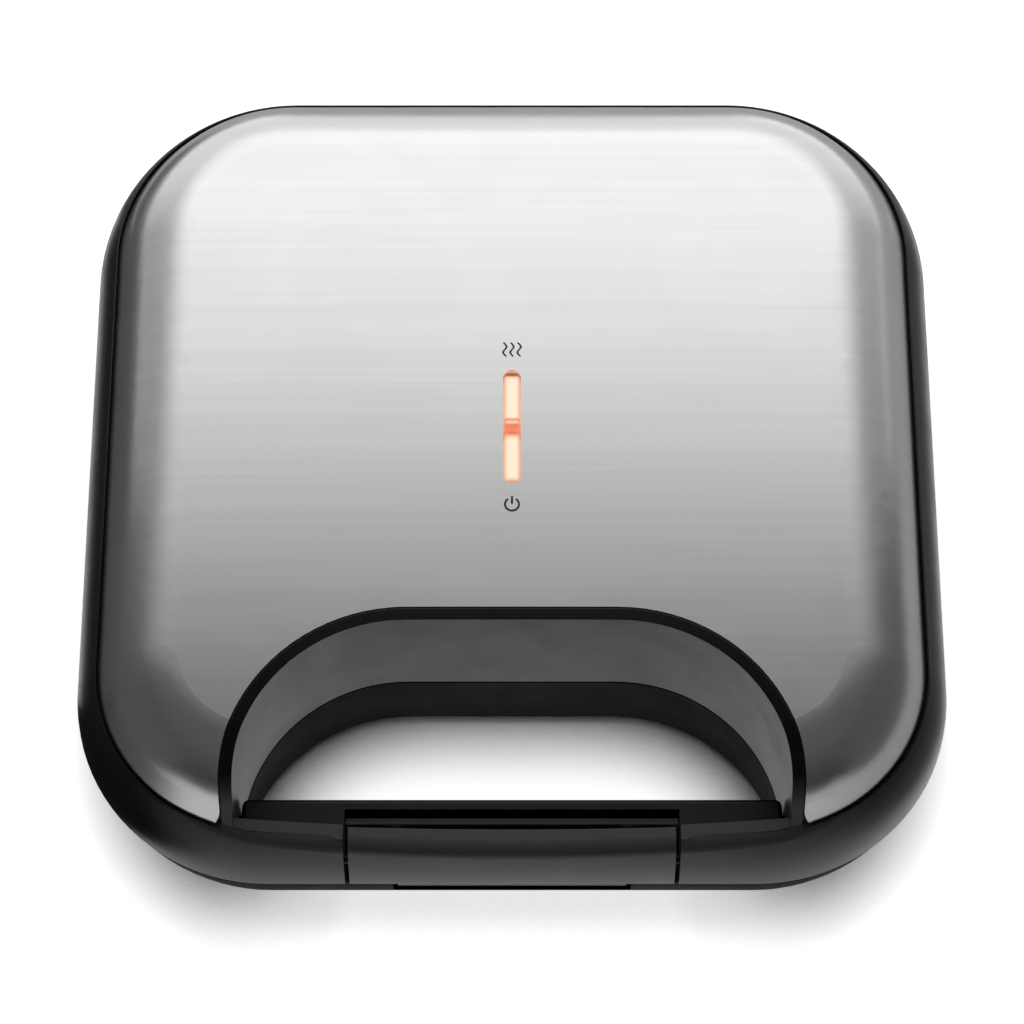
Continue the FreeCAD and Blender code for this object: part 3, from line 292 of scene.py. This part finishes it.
low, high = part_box("cord_gland")
collar = (high.x - low.x) / 2
collar_thickness = 0.0025
stem = 0.006
bore = 0.0036
length = high.y - low.y
groove = 0.0006
collar_round = 0.0009
bush = turned([
    (bore, 0.0), (stem - 0.0004, 0.0), (stem, 0.0008), (stem, 0.003), (stem - groove, 0.0035),
    (stem - groove, 0.0047), (stem, 0.0052), (stem, 0.0068), (stem - groove, 0.0073),
    (stem - groove, 0.0085), (stem, 0.009), (stem, length - collar_thickness),
    (collar, length - collar_thickness), (collar, length - collar_round), (collar - collar_round, length),
    (bore + collar_round, length), (bore, length - 0.0012)])
bmesh.ops.rotate(bush, verts=bush.verts, cent=(0, 0, 0), matrix=Matrix.Rotation(-math.pi / 2, 3, "X"))
bmesh.ops.translate(bush, verts=bush.verts, vec=((low.x + high.x) / 2, low.y, (low.z + high.z) / 2))
make_piece(bush, "inlet_bush", "base", bush_rubber, 0.00025, ["cord_gland"])

# Electrics of the base
# A pale moulded terminal block on the floor, and three sleeved wires from it to the element and the lid.
# The sleeve is woven glass fibre, so its surface is finely cross-hatched.

pale_moulding, tree, shader = new_material("pale_moulding", {})
relief, mottle = grain_of(tree, 2600.0)
mask, rounded = edges_of(tree, 0.0004)
feed(tree, shader,
     Base_Color=blend(tree, mottle, (0.66, 0.62, 0.53, 1), (0.78, 0.75, 0.67, 1)),
     Roughness=spread(tree, mottle, 0.48, 0.62),
     Normal=bump(tree, relief, 0.00002, 0.7, rounded))
dress(pale_moulding, "terminal_block", "lamp_holder", "thermostat")

wire_sleeve, tree, shader = new_material("wire_sleeve", {})
braid_pitch = 420.0
braid, cross_braid = (
    add_node(tree, "ShaderNodeTexWave", {"Vector": object_point(tree, slant), "Scale": braid_pitch},
             bands_direction="DIAGONAL").outputs["Fac"]
    for slant in ((1, 1, -1), (-1, 1, 1)))
weave = computed(tree, "MAXIMUM", braid, cross_braid)
feed(tree, shader,
     Base_Color=blend(tree, weave, grey(0.24), grey(0.46, 1.02, 0.95)),
     Roughness=spread(tree, weave, 0.82, 0.64),
     Normal=bump(tree, weave, 0.0001))
dress(wire_sleeve, "base_wiring", "base_loom", "lid_wiring", "lid_loom")

# Reflectors, heating elements and clips
# Bright aluminised trays throw the heat at the plates; the tubular elements lie in them under sheet clips.
# The tubes have gone straw and violet in patches from their first heating.

drawn_lines, lines_in, lines_out = new_group(
    "drawn_lines", {"Point": "Vector"}, {"Height": "Float", "Tone": "Float"})
broad_scale = 0.17
fine = noise(drawn_lines, lines_in["Point"], 1.0, 3.0, 0.7)
wide_point = add_node(drawn_lines, "ShaderNodeVectorMath", {0: lines_in["Point"], "Scale": broad_scale},
                      operation="SCALE").outputs[0]
broad = noise(drawn_lines, wide_point, 1.0, 2.0, 0.5)
drawn_lines.links.new(fine, lines_out["Height"])
tone = computed(drawn_lines, "ADD", spread(drawn_lines, fine, 0, 0.6), broad)
drawn_lines.links.new(tone, lines_out["Tone"])


def lines_of(tree, along, across):
    """Relief and tone of fine lines that run across the object, with so many in a metre each way."""
    point = object_point(tree, (along, across, along))
    group = add_node(tree, "ShaderNodeGroup", {"Point": point}, node_tree=drawn_lines)
    return group.outputs["Height"], group.outputs["Tone"]


bright_sheet, tree, shader = new_material("bright_sheet", {"Metallic": 1.0})
relief, tone = lines_of(tree, 60.0, 2200.0)
feed(tree, shader,
     Base_Color=blend(tree, tone, grey(0.62, 1.0, 1.02), grey(0.80, 1.0, 1.01)),
     Roughness=spread(tree, tone, 0.24, 0.38),
     Normal=bump(tree, relief, 0.00002, 0.5))
dress(bright_sheet, "lower_reflector", "upper_reflector", "lower_element_clips", "upper_element_clips")

element_sheath, tree, shader = new_material("element_sheath", {"Metallic": 0.9})
heat = noise(tree, object_point(tree), 38.0, 3.0, 0.6, 0.8)
oxide = blend(tree, spread(tree, heat, 0, 1, 0.35, 0.65), (0.16, 0.13, 0.10, 1), (0.10, 0.09, 0.12, 1))
relief, mottle = grain_of(tree, 1800.0)
feed(tree, shader,
     Base_Color=blend(tree, mottle, oxide, grey(0.20, 1.06, 0.94)),
     Roughness=spread(tree, mottle, 0.38, 0.58),
     Normal=bump(tree, relief, 0.00002))
dress(element_sheath, "lower_heating_element", "upper_heating_element")

# Cooking plates
# Die-cast aluminium with triangular pockets, under a dark grey nonstick coat with fine paler flecks.
# The coat is thinnest along the edges of the ridges, so they look a little paler.

nonstick_coat, tree, shader = new_material("nonstick_coat", {"Coat Weight": 0.25, "Coat Roughness": 0.22})
relief, mottle = grain_of(tree, 1700.0)
mask, rounded = edges_of(tree, 0.0012)
fleck_cells = 620.0
flecks = add_node(tree, "ShaderNodeTexVoronoi", {"Vector": object_point(tree), "Scale": fleck_cells})
fleck_mask = spread(tree, flecks.outputs["Distance"], 0.8, 0.0, 0.05, 0.24)
dark_coat = blend(tree, mottle, grey(0.022), grey(0.032, 1.0, 1.03))
coat = blend(tree, fleck_mask, dark_coat, grey(0.13, 1.0, 1.02))
feed(tree, shader,
     Base_Color=blend(tree, mask, coat, grey(0.085)),
     Roughness=spread(tree, mottle, 0.36, 0.50),
     Normal=bump(tree, relief, 0.00003, 0.7, rounded))
dress(nonstick_coat, "lower_cooking_plate", "upper_cooking_plate")

# Plate screws and frame screws
# Plated steel screws with a cross recess: four hold each plate from its housing, four hold each frame.
# The remaining screws, of the grip and the lamp holder, are hidden inside the lid.

plated_steel, tree, shader = new_material("plated_steel", {"Metallic": 1.0})
relief, mottle = grain_of(tree, 2400.0)
mask, rounded = edges_of(tree, 0.0002)
# The screws' sharp edges are painted paler, a painted highlight.
feed(tree, shader,
     Base_Color=blend(tree, mask, blend(tree, mottle, grey(0.46), grey(0.60, 1.03, 0.93)), grey(0.78)),
     Roughness=spread(tree, mottle, 0.26, 0.44),
     Normal=bump(tree, relief, 0.00001, 0.6, rounded))
dress(plated_steel, "grip_screws", "lamp_screws")


def cross_screw(head, head_height, shank, shank_length):
    """Screw with its head's rim at the origin, its recess facing up and its shank hanging down."""
    cells = 5
    reach = head * 0.60
    crown = head_height * 0.25
    recess = head_height * 0.65
    shape = bmesh.new()
    bmesh.ops.create_grid(shape, x_segments=cells, y_segments=cells, size=reach)
    rim = bmesh.ops.create_circle(shape, segments=4 * cells, radius=head)["verts"]
    inner = [v for v in shape.verts if v not in rim]
    for vert in inner:
        vert.co.z = crown * (1 - (vert.co.length / head) ** 2)
    border = [edge for edge in shape.edges if len(edge.link_faces) < 2]
    bmesh.ops.bridge_loops(shape, edges=border)
    arm = reach / cells * 1.1
    cross = [face for face in shape.faces
             if min(abs(face.calc_center_median().x), abs(face.calc_center_median().y)) < arm
             and face.calc_center_median().length < reach]
    sunk = bmesh.ops.extrude_face_region(shape, geom=cross)["geom"]
    floor = [item for item in sunk if isinstance(item, bmesh.types.BMVert)]
    bmesh.ops.delete(shape, geom=cross, context="FACES_ONLY")
    bmesh.ops.translate(shape, verts=floor, vec=(0, 0, -recess))
    for step, (radius, drop) in enumerate(((head, head_height), (shank, 0), (shank, shank_length), (0, 0))):
        open_edges = [edge for edge in shape.edges if len(edge.link_faces) == 1]
        grown = bmesh.ops.extrude_edge_only(shape, edges=open_edges)["geom"]
        ring = [item for item in grown if isinstance(item, bmesh.types.BMVert)]
        last = (head, head, shank, shank)[step]
        bmesh.ops.scale(shape, verts=ring, vec=(radius / last, radius / last, 1))
        bmesh.ops.translate(shape, verts=ring, vec=(0, 0, -drop))
    bmesh.ops.remove_doubles(shape, verts=shape.verts, dist=1e-7)
    bmesh.ops.recalc_face_normals(shape, faces=shape.faces)
    return shape


screw_room = 0.008


def screw_places(node):
    """Plan centres of a node's separate screws, found from the extent of each cluster of its points."""
    clusters = []
    for vert in nodes[node].data.vertices:
        x, y = vert.co.x, vert.co.y
        near = [spot for spot in clusters
                if abs(spot["first"][0] - x) < screw_room and abs(spot["first"][1] - y) < screw_room]
        if not near:
            clusters.append({"first": (x, y), "x": [], "y": []})
            near = clusters[-1:]
        near[0]["x"].append(x)
        near[0]["y"].append(y)
    return [((min(spot["x"]) + max(spot["x"])) / 2, (min(spot["y"]) + max(spot["y"])) / 2)
            for spot in clusters]


def screw_set(node, name, body, facing, head, head_height, shank):
    """One piece with all the screws of a node, each turned otherwise."""
    low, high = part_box(node)
    length = high.z - low.z - head_height
    whole = bmesh.new()
    for index, (x, y) in enumerate(screw_places(node)):
        screw = cross_screw(head, head_height, shank, length)
        turn = Matrix.Rotation(0.5 + 1.1 * index, 3, "Z")
        if facing < 0:
            turn = Matrix.Rotation(math.pi, 3, "X") @ turn
        bmesh.ops.rotate(screw, verts=screw.verts, cent=(0, 0, 0), matrix=turn)
        bmesh.ops.translate(screw, verts=screw.verts, vec=(x, y, high.z if facing > 0 else low.z))
        joined = bpy.data.meshes.new("screw")
        screw.to_mesh(joined)
        screw.free()
        whole.from_mesh(joined)
        bpy.data.meshes.remove(joined)
    make_piece(whole, name, body, plated_steel, 0.00015, [node])


plate_screw = {"head": 0.0034, "head_height": 0.0024, "shank": 0.0016}
frame_screw = {"head": 0.0027, "head_height": 0.0012, "shank": 0.0014}
screw_set("lower_plate_screws", "lower_plate_screw_set", "base", -1, **plate_screw)
screw_set("upper_plate_screws", "upper_plate_screw_set", "lid", 1, **plate_screw)
screw_set("lower_frame_screws", "lower_frame_screw_set", "base", 1, **frame_screw)
screw_set("upper_frame_screws", "upper_frame_screw_set", "lid", -1, **frame_screw)

# Frames round the plates
# Flat black frames that close the housings, moulded in a coarser-grained plastic than the shells.
# Each is held by four sunk screws and leaves the plate room to expand.

frame_plastic = satin_plastic(
    "frame_plastic", dark=0.012, pale=0.018, smooth=0.46, rough=0.58, cells=2600.0,
    edge_width=0.0005, edge_level=0.034)
dress(frame_plastic, "lower_frame", "upper_frame")

# Hinge pins
# Two plain steel pins through the knuckles of both housings, with their ends rounded over.
# They are pressed into the base, and the lid turns on them.

pin_round = 0.0007
for side in ("left", "right"):
    low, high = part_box("hinge_pin_" + side)
    radius = (high.z - low.z) / 2
    length = high.x - low.x
    pin = turned([(0, 0), (radius - pin_round, 0), (radius, pin_round), (radius, length - pin_round),
                  (radius - pin_round, length), (0, length)], 32)
    bmesh.ops.rotate(pin, verts=pin.verts, cent=(0, 0, 0), matrix=Matrix.Rotation(math.pi / 2, 3, "Y"))
    bmesh.ops.translate(pin, verts=pin.verts, vec=(low.x, (low.y + high.y) / 2, (low.z + high.z) / 2))
    make_piece(pin, "pivot_pin_" + side, "base", plated_steel, 0.0003,
               ["hinge_pin_" + side])

# Upper housing
# Black satin shell of the lid: rim, arch wall, front bar and hinge lugs in one moulding.
# Only its rim, the wall of the finger opening and the bar show, because the steel covers the rest.

bar_reach = (-0.1045, -0.0985)
bar_end = (0.074, 0.094)


def parts_of(tree, vector):
    """The X, Y and Z sockets of a vector."""
    return add_node(tree, "ShaderNodeSeparateXYZ", {0: vector}).outputs


def flat_lip(tree):
    """Mask of the level faces behind the bar: the lip round the finger opening and the ledge of the rim,
    painted darker with painted shade.
    """
    normal = add_node(tree, "ShaderNodeNewGeometry").outputs["Normal"]
    level = spread(tree, parts_of(tree, normal)["Z"], 0, 1, 0.75, 0.95)
    place = parts_of(tree, object_point(tree))["Y"]
    return computed(tree, "MULTIPLY", level, spread(tree, place, 0, 1, *bar_reach))


def painted_light_bar(tree):
    """Mask of the front bar, painted paler with painted light; it fades out into the corners of the rim."""
    place = parts_of(tree, object_point(tree))
    aside = computed(tree, "ABSOLUTE", place["X"])
    front = spread(tree, place["Y"], 1, 0, *bar_reach)
    return computed(tree, "MULTIPLY", front, spread(tree, aside, 1, 0, *bar_end))


# On the lid the front bar is painted paler with painted light, the level faces behind it darker with
# painted shade, and the sharp edges paler as a painted highlight.
lid_plastic = satin_plastic(
    "lid_plastic", dark=0.007, pale=0.010, smooth=0.31, rough=0.39, cells=5200.0,
    edge_width=0.0004, edge_level=0.032, specular=0.32, polished_shaded_place=flat_lip, painted_light_place=painted_light_bar)
dress(lid_plastic, "upper_housing")

# Steel cover
# Pressed stainless sheet, brushed from side to side before pressing, glued into a groove of the lid.
# The brushing stretches highlights across its lines.

brushed_steel, tree, shader = new_material("brushed_steel", {"Metallic": 1.0, "Anisotropic": 0.35})
relief, tone = lines_of(tree, 26.0, 2600.0)
touched = noise(tree, object_point(tree), 24.0, 4.0, 0.6, 1.2)
feed(tree, shader,
     Base_Color=blend(tree, tone, grey(0.66, 1.005, 0.99), grey(0.76, 1.005, 0.99)),
     Roughness=spread(tree, touched, 0.28, 0.31, 0.35, 0.65),
     Normal=bump(tree, relief, 0.000004, 0.4),
     Tangent=add_node(tree, "ShaderNodeCombineXYZ", {"X": 1.0}).outputs[0])
dress(brushed_steel, "steel_cover")

# Lamps and their lenses
# Two neon lamps in a pale trough under the crown, seen through clear tinted windows in the steel.
# The windows' glow is painted light, emission of their own that stands in for the lamps shining through:
# cream along the middle of each window, coral at its sides and dull red over the lamp's ends.

cream = (1.0, 0.83, 0.62, 1)
coral = (0.80, 0.22, 0.11, 1)
dull_red = (0.20, 0.035, 0.015, 1)
blush = (1.0, 0.62, 0.45, 1)
flange_play = 0.0004
glow_half = (0.0012, 0.0021)


def painted_glow_window(name, node, stops):
    """Window whose own emission paints the glow of the lamp below it, coloured along its length from the
    front end to the rear one.
    """
    low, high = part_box(node)
    near = low.y + flange_play
    reach = high.y - low.y - 2 * flange_play
    material, tree, shader = new_material(name, {"Emission Strength": 1.0, "Roughness": 0.18})
    axes = parts_of(tree, object_point(tree))
    along = spread(tree, axes["Y"], 0, 1, near, near + reach)
    ramp = add_node(tree, "ShaderNodeValToRGB", {"Fac": along})
    points = ramp.color_ramp.elements
    for position, _ in stops[2:]:
        points.new(position)
    for element, (position, colour) in zip(points, sorted(stops)):
        element.position = position
        element.color = colour
    across = computed(tree, "ABSOLUTE", axes["X"])
    side = spread(tree, across, 0, 0.75, *glow_half)
    clouds = spread(tree, noise(tree, object_point(tree), 900.0, 3.0), 0.0, 0.12)
    glow = blend(tree, clouds, blend(tree, side, ramp.outputs["Color"], coral), blush)
    feed(tree, shader,
         Base_Color=blend(tree, side, (0.10, 0.04, 0.025, 1), (0.22, 0.06, 0.03, 1)),
         Emission_Color=glow)
    dress(material, node)


painted_glow_window("ready_window", "ready_lens", [
    (0.0, coral), (0.05, (0.9, 0.20, 0.08, 1)), (0.085, blush), (0.14, coral), (0.17, cream), (0.82, cream),
    (0.865, blush), (0.90, dull_red), (0.925, dull_red), (0.95, coral), (1.0, coral)])
painted_glow_window("power_window", "power_lens", [
    (0.0, coral), (0.035, blush), (0.08, cream), (0.82, cream), (0.885, blush), (0.935, coral),
    (1.0, dull_red)])

neon_glass, tree, shader = new_material(
    "neon_glass", {"Roughness": 0.08, "Emission Strength": 0.6, "Base Color": (0.5, 0.25, 0.12, 1)})
inner_glow = noise(tree, object_point(tree), 300.0, 2.0)
feed(tree, shader, Emission_Color=blend(tree, inner_glow, (1.0, 0.42, 0.16, 1), (1.0, 0.70, 0.42, 1)))
dress(neon_glass, "ready_lamp", "power_lamp")

fuse_can, tree, shader = new_material("fuse_can", {"Metallic": 1.0})
relief, mottle = grain_of(tree, 1500.0)
feed(tree, shader,
     Base_Color=blend(tree, mottle, grey(0.55), grey(0.72)),
     Roughness=spread(tree, mottle, 0.3, 0.5))
dress(fuse_can, "thermal_fuse")

# Signs beside the windows
# Two plain marks in dark grey ink: heat waves behind the rear window, a switch sign before the front one.
# The ink lies on the steel as a film a few hundredths of a millimetre thick.

ink, tree, shader = new_material("dark_ink", {"Roughness": 0.5})
ink_grain = noise(tree, object_point(tree), 3000.0, 3.0)
feed(tree, shader, Base_Color=blend(tree, ink_grain, grey(0.045), grey(0.075)))

steel_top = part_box("steel_cover")[1].z
film = 0.00004
stroke = 0.00055
sign_height = 0.0042
sign_gap = 0.0060


def on_steel(shape, y, name):
    """Moves a flat sign onto the crown of the cover and gives it the thickness of its film."""
    bmesh.ops.recalc_face_normals(shape, faces=shape.faces)
    bmesh.ops.solidify(shape, geom=shape.faces, thickness=-film)
    bmesh.ops.translate(shape, verts=shape.verts, vec=(0, y, steel_top - film * 1.5))
    bmesh.ops.recalc_face_normals(shape, faces=shape.faces)
    make_piece(shape, name, "lid", ink)


waves = bmesh.new()
wave_pitch = 0.0019
wave_swing = 0.00045
wave_turns = 1.25
for index in (-1, 0, 1):
    added = bmesh.ops.create_grid(waves, x_segments=1, y_segments=20, size=0.5)["verts"]
    bmesh.ops.scale(waves, verts=added, vec=(stroke, sign_height, 1))
    for vert in added:
        angle = math.tau * vert.co.y / sign_height * wave_turns
        vert.co.x += index * wave_pitch + wave_swing * math.sin(angle)
on_steel(waves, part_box("ready_lens")[1].y + sign_gap, "heat_sign")

switch = bmesh.new()
ring_radius = sign_height / 2
ring_gap = math.radians(70)
start = math.pi / 2 + ring_gap / 2
tip = [switch.verts.new((radius * math.cos(start), radius * math.sin(start), 0))
       for radius in (ring_radius - stroke, ring_radius)]
edge = switch.edges.new(tip)
bmesh.ops.spin(switch, geom=tip + [edge], cent=(0, 0, 0), axis=(0, 0, 1), angle=math.tau - ring_gap,
               steps=40, use_duplicate=False)
bar = bmesh.ops.create_grid(switch, x_segments=1, y_segments=1, size=0.5)["verts"]
bmesh.ops.scale(switch, verts=bar, vec=(stroke, ring_radius * 1.05, 1))
bmesh.ops.translate(switch, verts=bar, vec=(0, ring_radius * 0.62, 0))
on_steel(switch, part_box("power_lens")[0].y - sign_gap, "switch_sign")

# Grip
# Inner half of the handle, a separate moulding in a smoother and darker plastic, screwed on from the bar.
# A slot in its top clears the latch.

grip_plastic = satin_plastic(
    "grip_plastic", dark=0.0045, pale=0.007, smooth=0.28, rough=0.36, cells=4200.0,
    edge_width=0.0003, edge_level=0.03)
dress(grip_plastic, "upper_grip")

# Latch and its pin
# Flush plate in the middle of the bar, moulded in satin plastic; its colour is painted pale with painted
# light to match the bar, and its edges paler still as a painted highlight.
# It rocks on a blackened steel pin held between the two cheeks of the bar.

latch_plastic = satin_plastic(
    "latch_plastic", dark=0.115, pale=0.125, smooth=0.40, rough=0.46, cells=5200.0,
    edge_width=0.0004, edge_level=0.16, specular=0.42)
dress(latch_plastic, "latch")

blackened_steel, tree, shader = new_material("blackened_steel", {"Metallic": 1.0})
relief, mottle = grain_of(tree, 2000.0)
feed(tree, shader,
     Base_Color=blend(tree, mottle, grey(0.02), grey(0.035)),
     Roughness=spread(tree, mottle, 0.4, 0.55))
dress(blackened_steel, "latch_pin")

# Studio
# Pale floor, a soft box behind and above the object whose light fades towards the front, and a dim tent.
# Dim cards and two upright flags, seen only in reflections, draw the dark edges of the steel.


def stage_object(shape, name, material):
    """Object of the studio, which isn't a piece of the product."""
    mesh = bpy.data.meshes.new(name)
    shape.to_mesh(mesh)
    shape.free()
    mesh.materials.append(material)
    thing = bpy.data.objects.new(name, mesh)
    bpy.context.scene.collection.objects.link(thing)
    return thing


def flat_card(x0, x1, y0, y1, z):
    """Rectangle that lies level between two corners."""
    shape = bmesh.new()
    bmesh.ops.create_grid(shape, x_segments=1, y_segments=1, size=0.5)
    bmesh.ops.scale(shape, verts=shape.verts, vec=(x1 - x0, y1 - y0, 1))
    bmesh.ops.translate(shape, verts=shape.verts, vec=((x0 + x1) / 2, (y0 + y1) / 2, z))
    return shape


def light_material(name):
    """Material that only gives off light, and its tree."""
    material = bpy.data.materials.new(name)
    material.use_nodes = True
    material.node_tree.nodes.clear()
    return material, material.node_tree


def shine(tree, strength):
    """Ends a tree with an even white glow of this strength."""
    glow = add_node(tree, "ShaderNodeEmission", {"Strength": strength})
    add_node(tree, "ShaderNodeOutputMaterial", {"Surface": glow.outputs[0]})


def reflected_card(shape, name, level):
    """Card of even brightness that only reflections show."""
    material, tree = light_material(name)
    shine(tree, level)
    card = stage_object(shape, name, material)
    card.visible_camera = False
    card.visible_diffuse = False
    card.visible_shadow = False


studio_radius = 4.0
floor_lift = 1.0
shade_reach = 0.027
shade_span = (0.40, 0.88)
pale_floor, tree, shader = new_material(
    "pale_floor", {"Base Color": grey(0.88), "Specular IOR Level": 0.0, "Emission Color": grey(1.0)})
path = add_node(tree, "ShaderNodeLightPath").outputs
seen = computed(tree, "ADD", path["Is Camera Ray"], path["Is Glossy Ray"])
seen = computed(tree, "ADD", seen, path["Is Transmission Ray"])
# Away from the object the floor glows to white; near it the glow is dimmed by ambient occlusion, a painted
# shadow under and beside the object.
open_sky = add_node(tree, "ShaderNodeAmbientOcclusion", {"Distance": shade_reach}, samples=16).outputs["AO"]
lift = spread(tree, open_sky, 0.0, floor_lift, *shade_span)
feed(tree, shader, Emission_Strength=computed(tree, "MULTIPLY", seen, lift))
disc = bmesh.new()
bmesh.ops.create_circle(disc, cap_ends=True, segments=96, radius=studio_radius)
stage_object(disc, "floor", pale_floor)

tent_rise = (0.02, 0.10)
tent_back = (0.0, 0.9)
tent_span = (0.2, 0.8)
tent_cloth, tree = light_material("tent_cloth")
toward = parts_of(tree, object_point(tree, (1 / studio_radius,) * 3))
above = spread(tree, toward["Z"], *tent_rise, *tent_span)
behind = spread(tree, toward["Y"], *tent_back, *tent_span)
shine(tree, computed(tree, "MAXIMUM", above, behind))
dome = bmesh.new()
bmesh.ops.create_uvsphere(dome, u_segments=48, v_segments=24, radius=studio_radius)
bmesh.ops.bisect_plane(dome, geom=dome.verts[:] + dome.edges[:] + dome.faces[:], plane_co=(0, 0, -0.01),
                       plane_no=(0, 0, -1), clear_outer=True)
tent = stage_object(dome, "tent", tent_cloth)
tent.visible_camera = False

softbox_height = 0.58
softbox_half = 0.62
softbox_even = 0.28
softbox_front = 0.10
softbox_full = 0.36
softbox_rear = 1.0
softbox_level = 1.34
softbox_edge_level = 0.09
softbox_end_share = 0.3
softbox_cloth, tree = light_material("softbox_cloth")
axes = parts_of(tree, object_point(tree))
fade = spread(tree, axes["Y"], softbox_edge_level, softbox_level, softbox_front, softbox_full)
facing = spread(tree, add_node(tree, "ShaderNodeNewGeometry").outputs["Backfacing"], 1.0, 0.0)
aside = computed(tree, "ABSOLUTE", axes["X"])
ends = spread(tree, aside, 1.0, softbox_end_share, softbox_even, softbox_half)
shine(tree, computed(tree, "MULTIPLY", computed(tree, "MULTIPLY", fade, ends), facing))
panel = flat_card(-softbox_half, softbox_half, softbox_front, softbox_rear, softbox_height)
bmesh.ops.reverse_faces(panel, faces=panel.faces)
softbox = stage_object(panel, "rear_softbox", softbox_cloth)
softbox.visible_camera = False

card_height = 0.002
for name, level, x0, x1, y0, y1 in (
        ("left_card", 0.07, -3.0, -0.15, -0.05, 0.6),
        ("corner_card", 0.02, -0.21, -0.115, -0.20, -0.05),
        ("far_left_card", 0.09, -3.0, -0.21, -0.22, -0.05),
        ("front_left_card", 0.60, -3.0, -0.05, -3.0, -0.22),
        ("right_card", 0.34, 0.15, 3.0, -0.22, 0.6),
        ("front_right_card", 0.42, 0.05, 3.0, -3.0, -0.22),
        ("rear_card", 0.38, -0.15, 0.15, 0.12, 3.0)):
    reflected_card(flat_card(x0, x1, y0, y1, card_height), name, level)

flag_distance = 0.35
flag_height = 0.25
flag_front = -0.30
flag_rear = 0.10
flag_level = 0.09
for name, x in (("left_flag", -flag_distance), ("right_flag", flag_distance)):
    flag = flat_card(-flag_height / 2, flag_height / 2, flag_front, flag_rear, 0)
    bmesh.ops.rotate(flag, verts=flag.verts, cent=(0, 0, 0), matrix=Matrix.Rotation(math.pi / 2, 3, "Y"))
    bmesh.ops.translate(flag, verts=flag.verts, vec=(x, 0, flag_height / 2))
    reflected_card(flag, name, flag_level)

world = bpy.data.worlds.new("studio")
world.use_nodes = True
world.node_tree.nodes["Background"].inputs["Color"].default_value = (1, 1, 1, 1)
world.node_tree.nodes["Background"].inputs["Strength"].default_value = 1.0
bpy.context.scene.world = world

# Camera
# Stands in front of the object and looks down on it along a long lens, as in the photograph.

camera_data = bpy.data.cameras.new("camera")
camera_data.sensor_width = 36
camera_data.lens = 126
camera = bpy.data.objects.new("camera", camera_data)
camera.location = (0, -0.42275, 0.927)
camera.rotation_euler = (math.radians(25), 0, 0)
bpy.context.scene.collection.objects.link(camera)
bpy.context.scene.camera = camera
bpy.context.scene.view_settings.view_transform = "Standard"
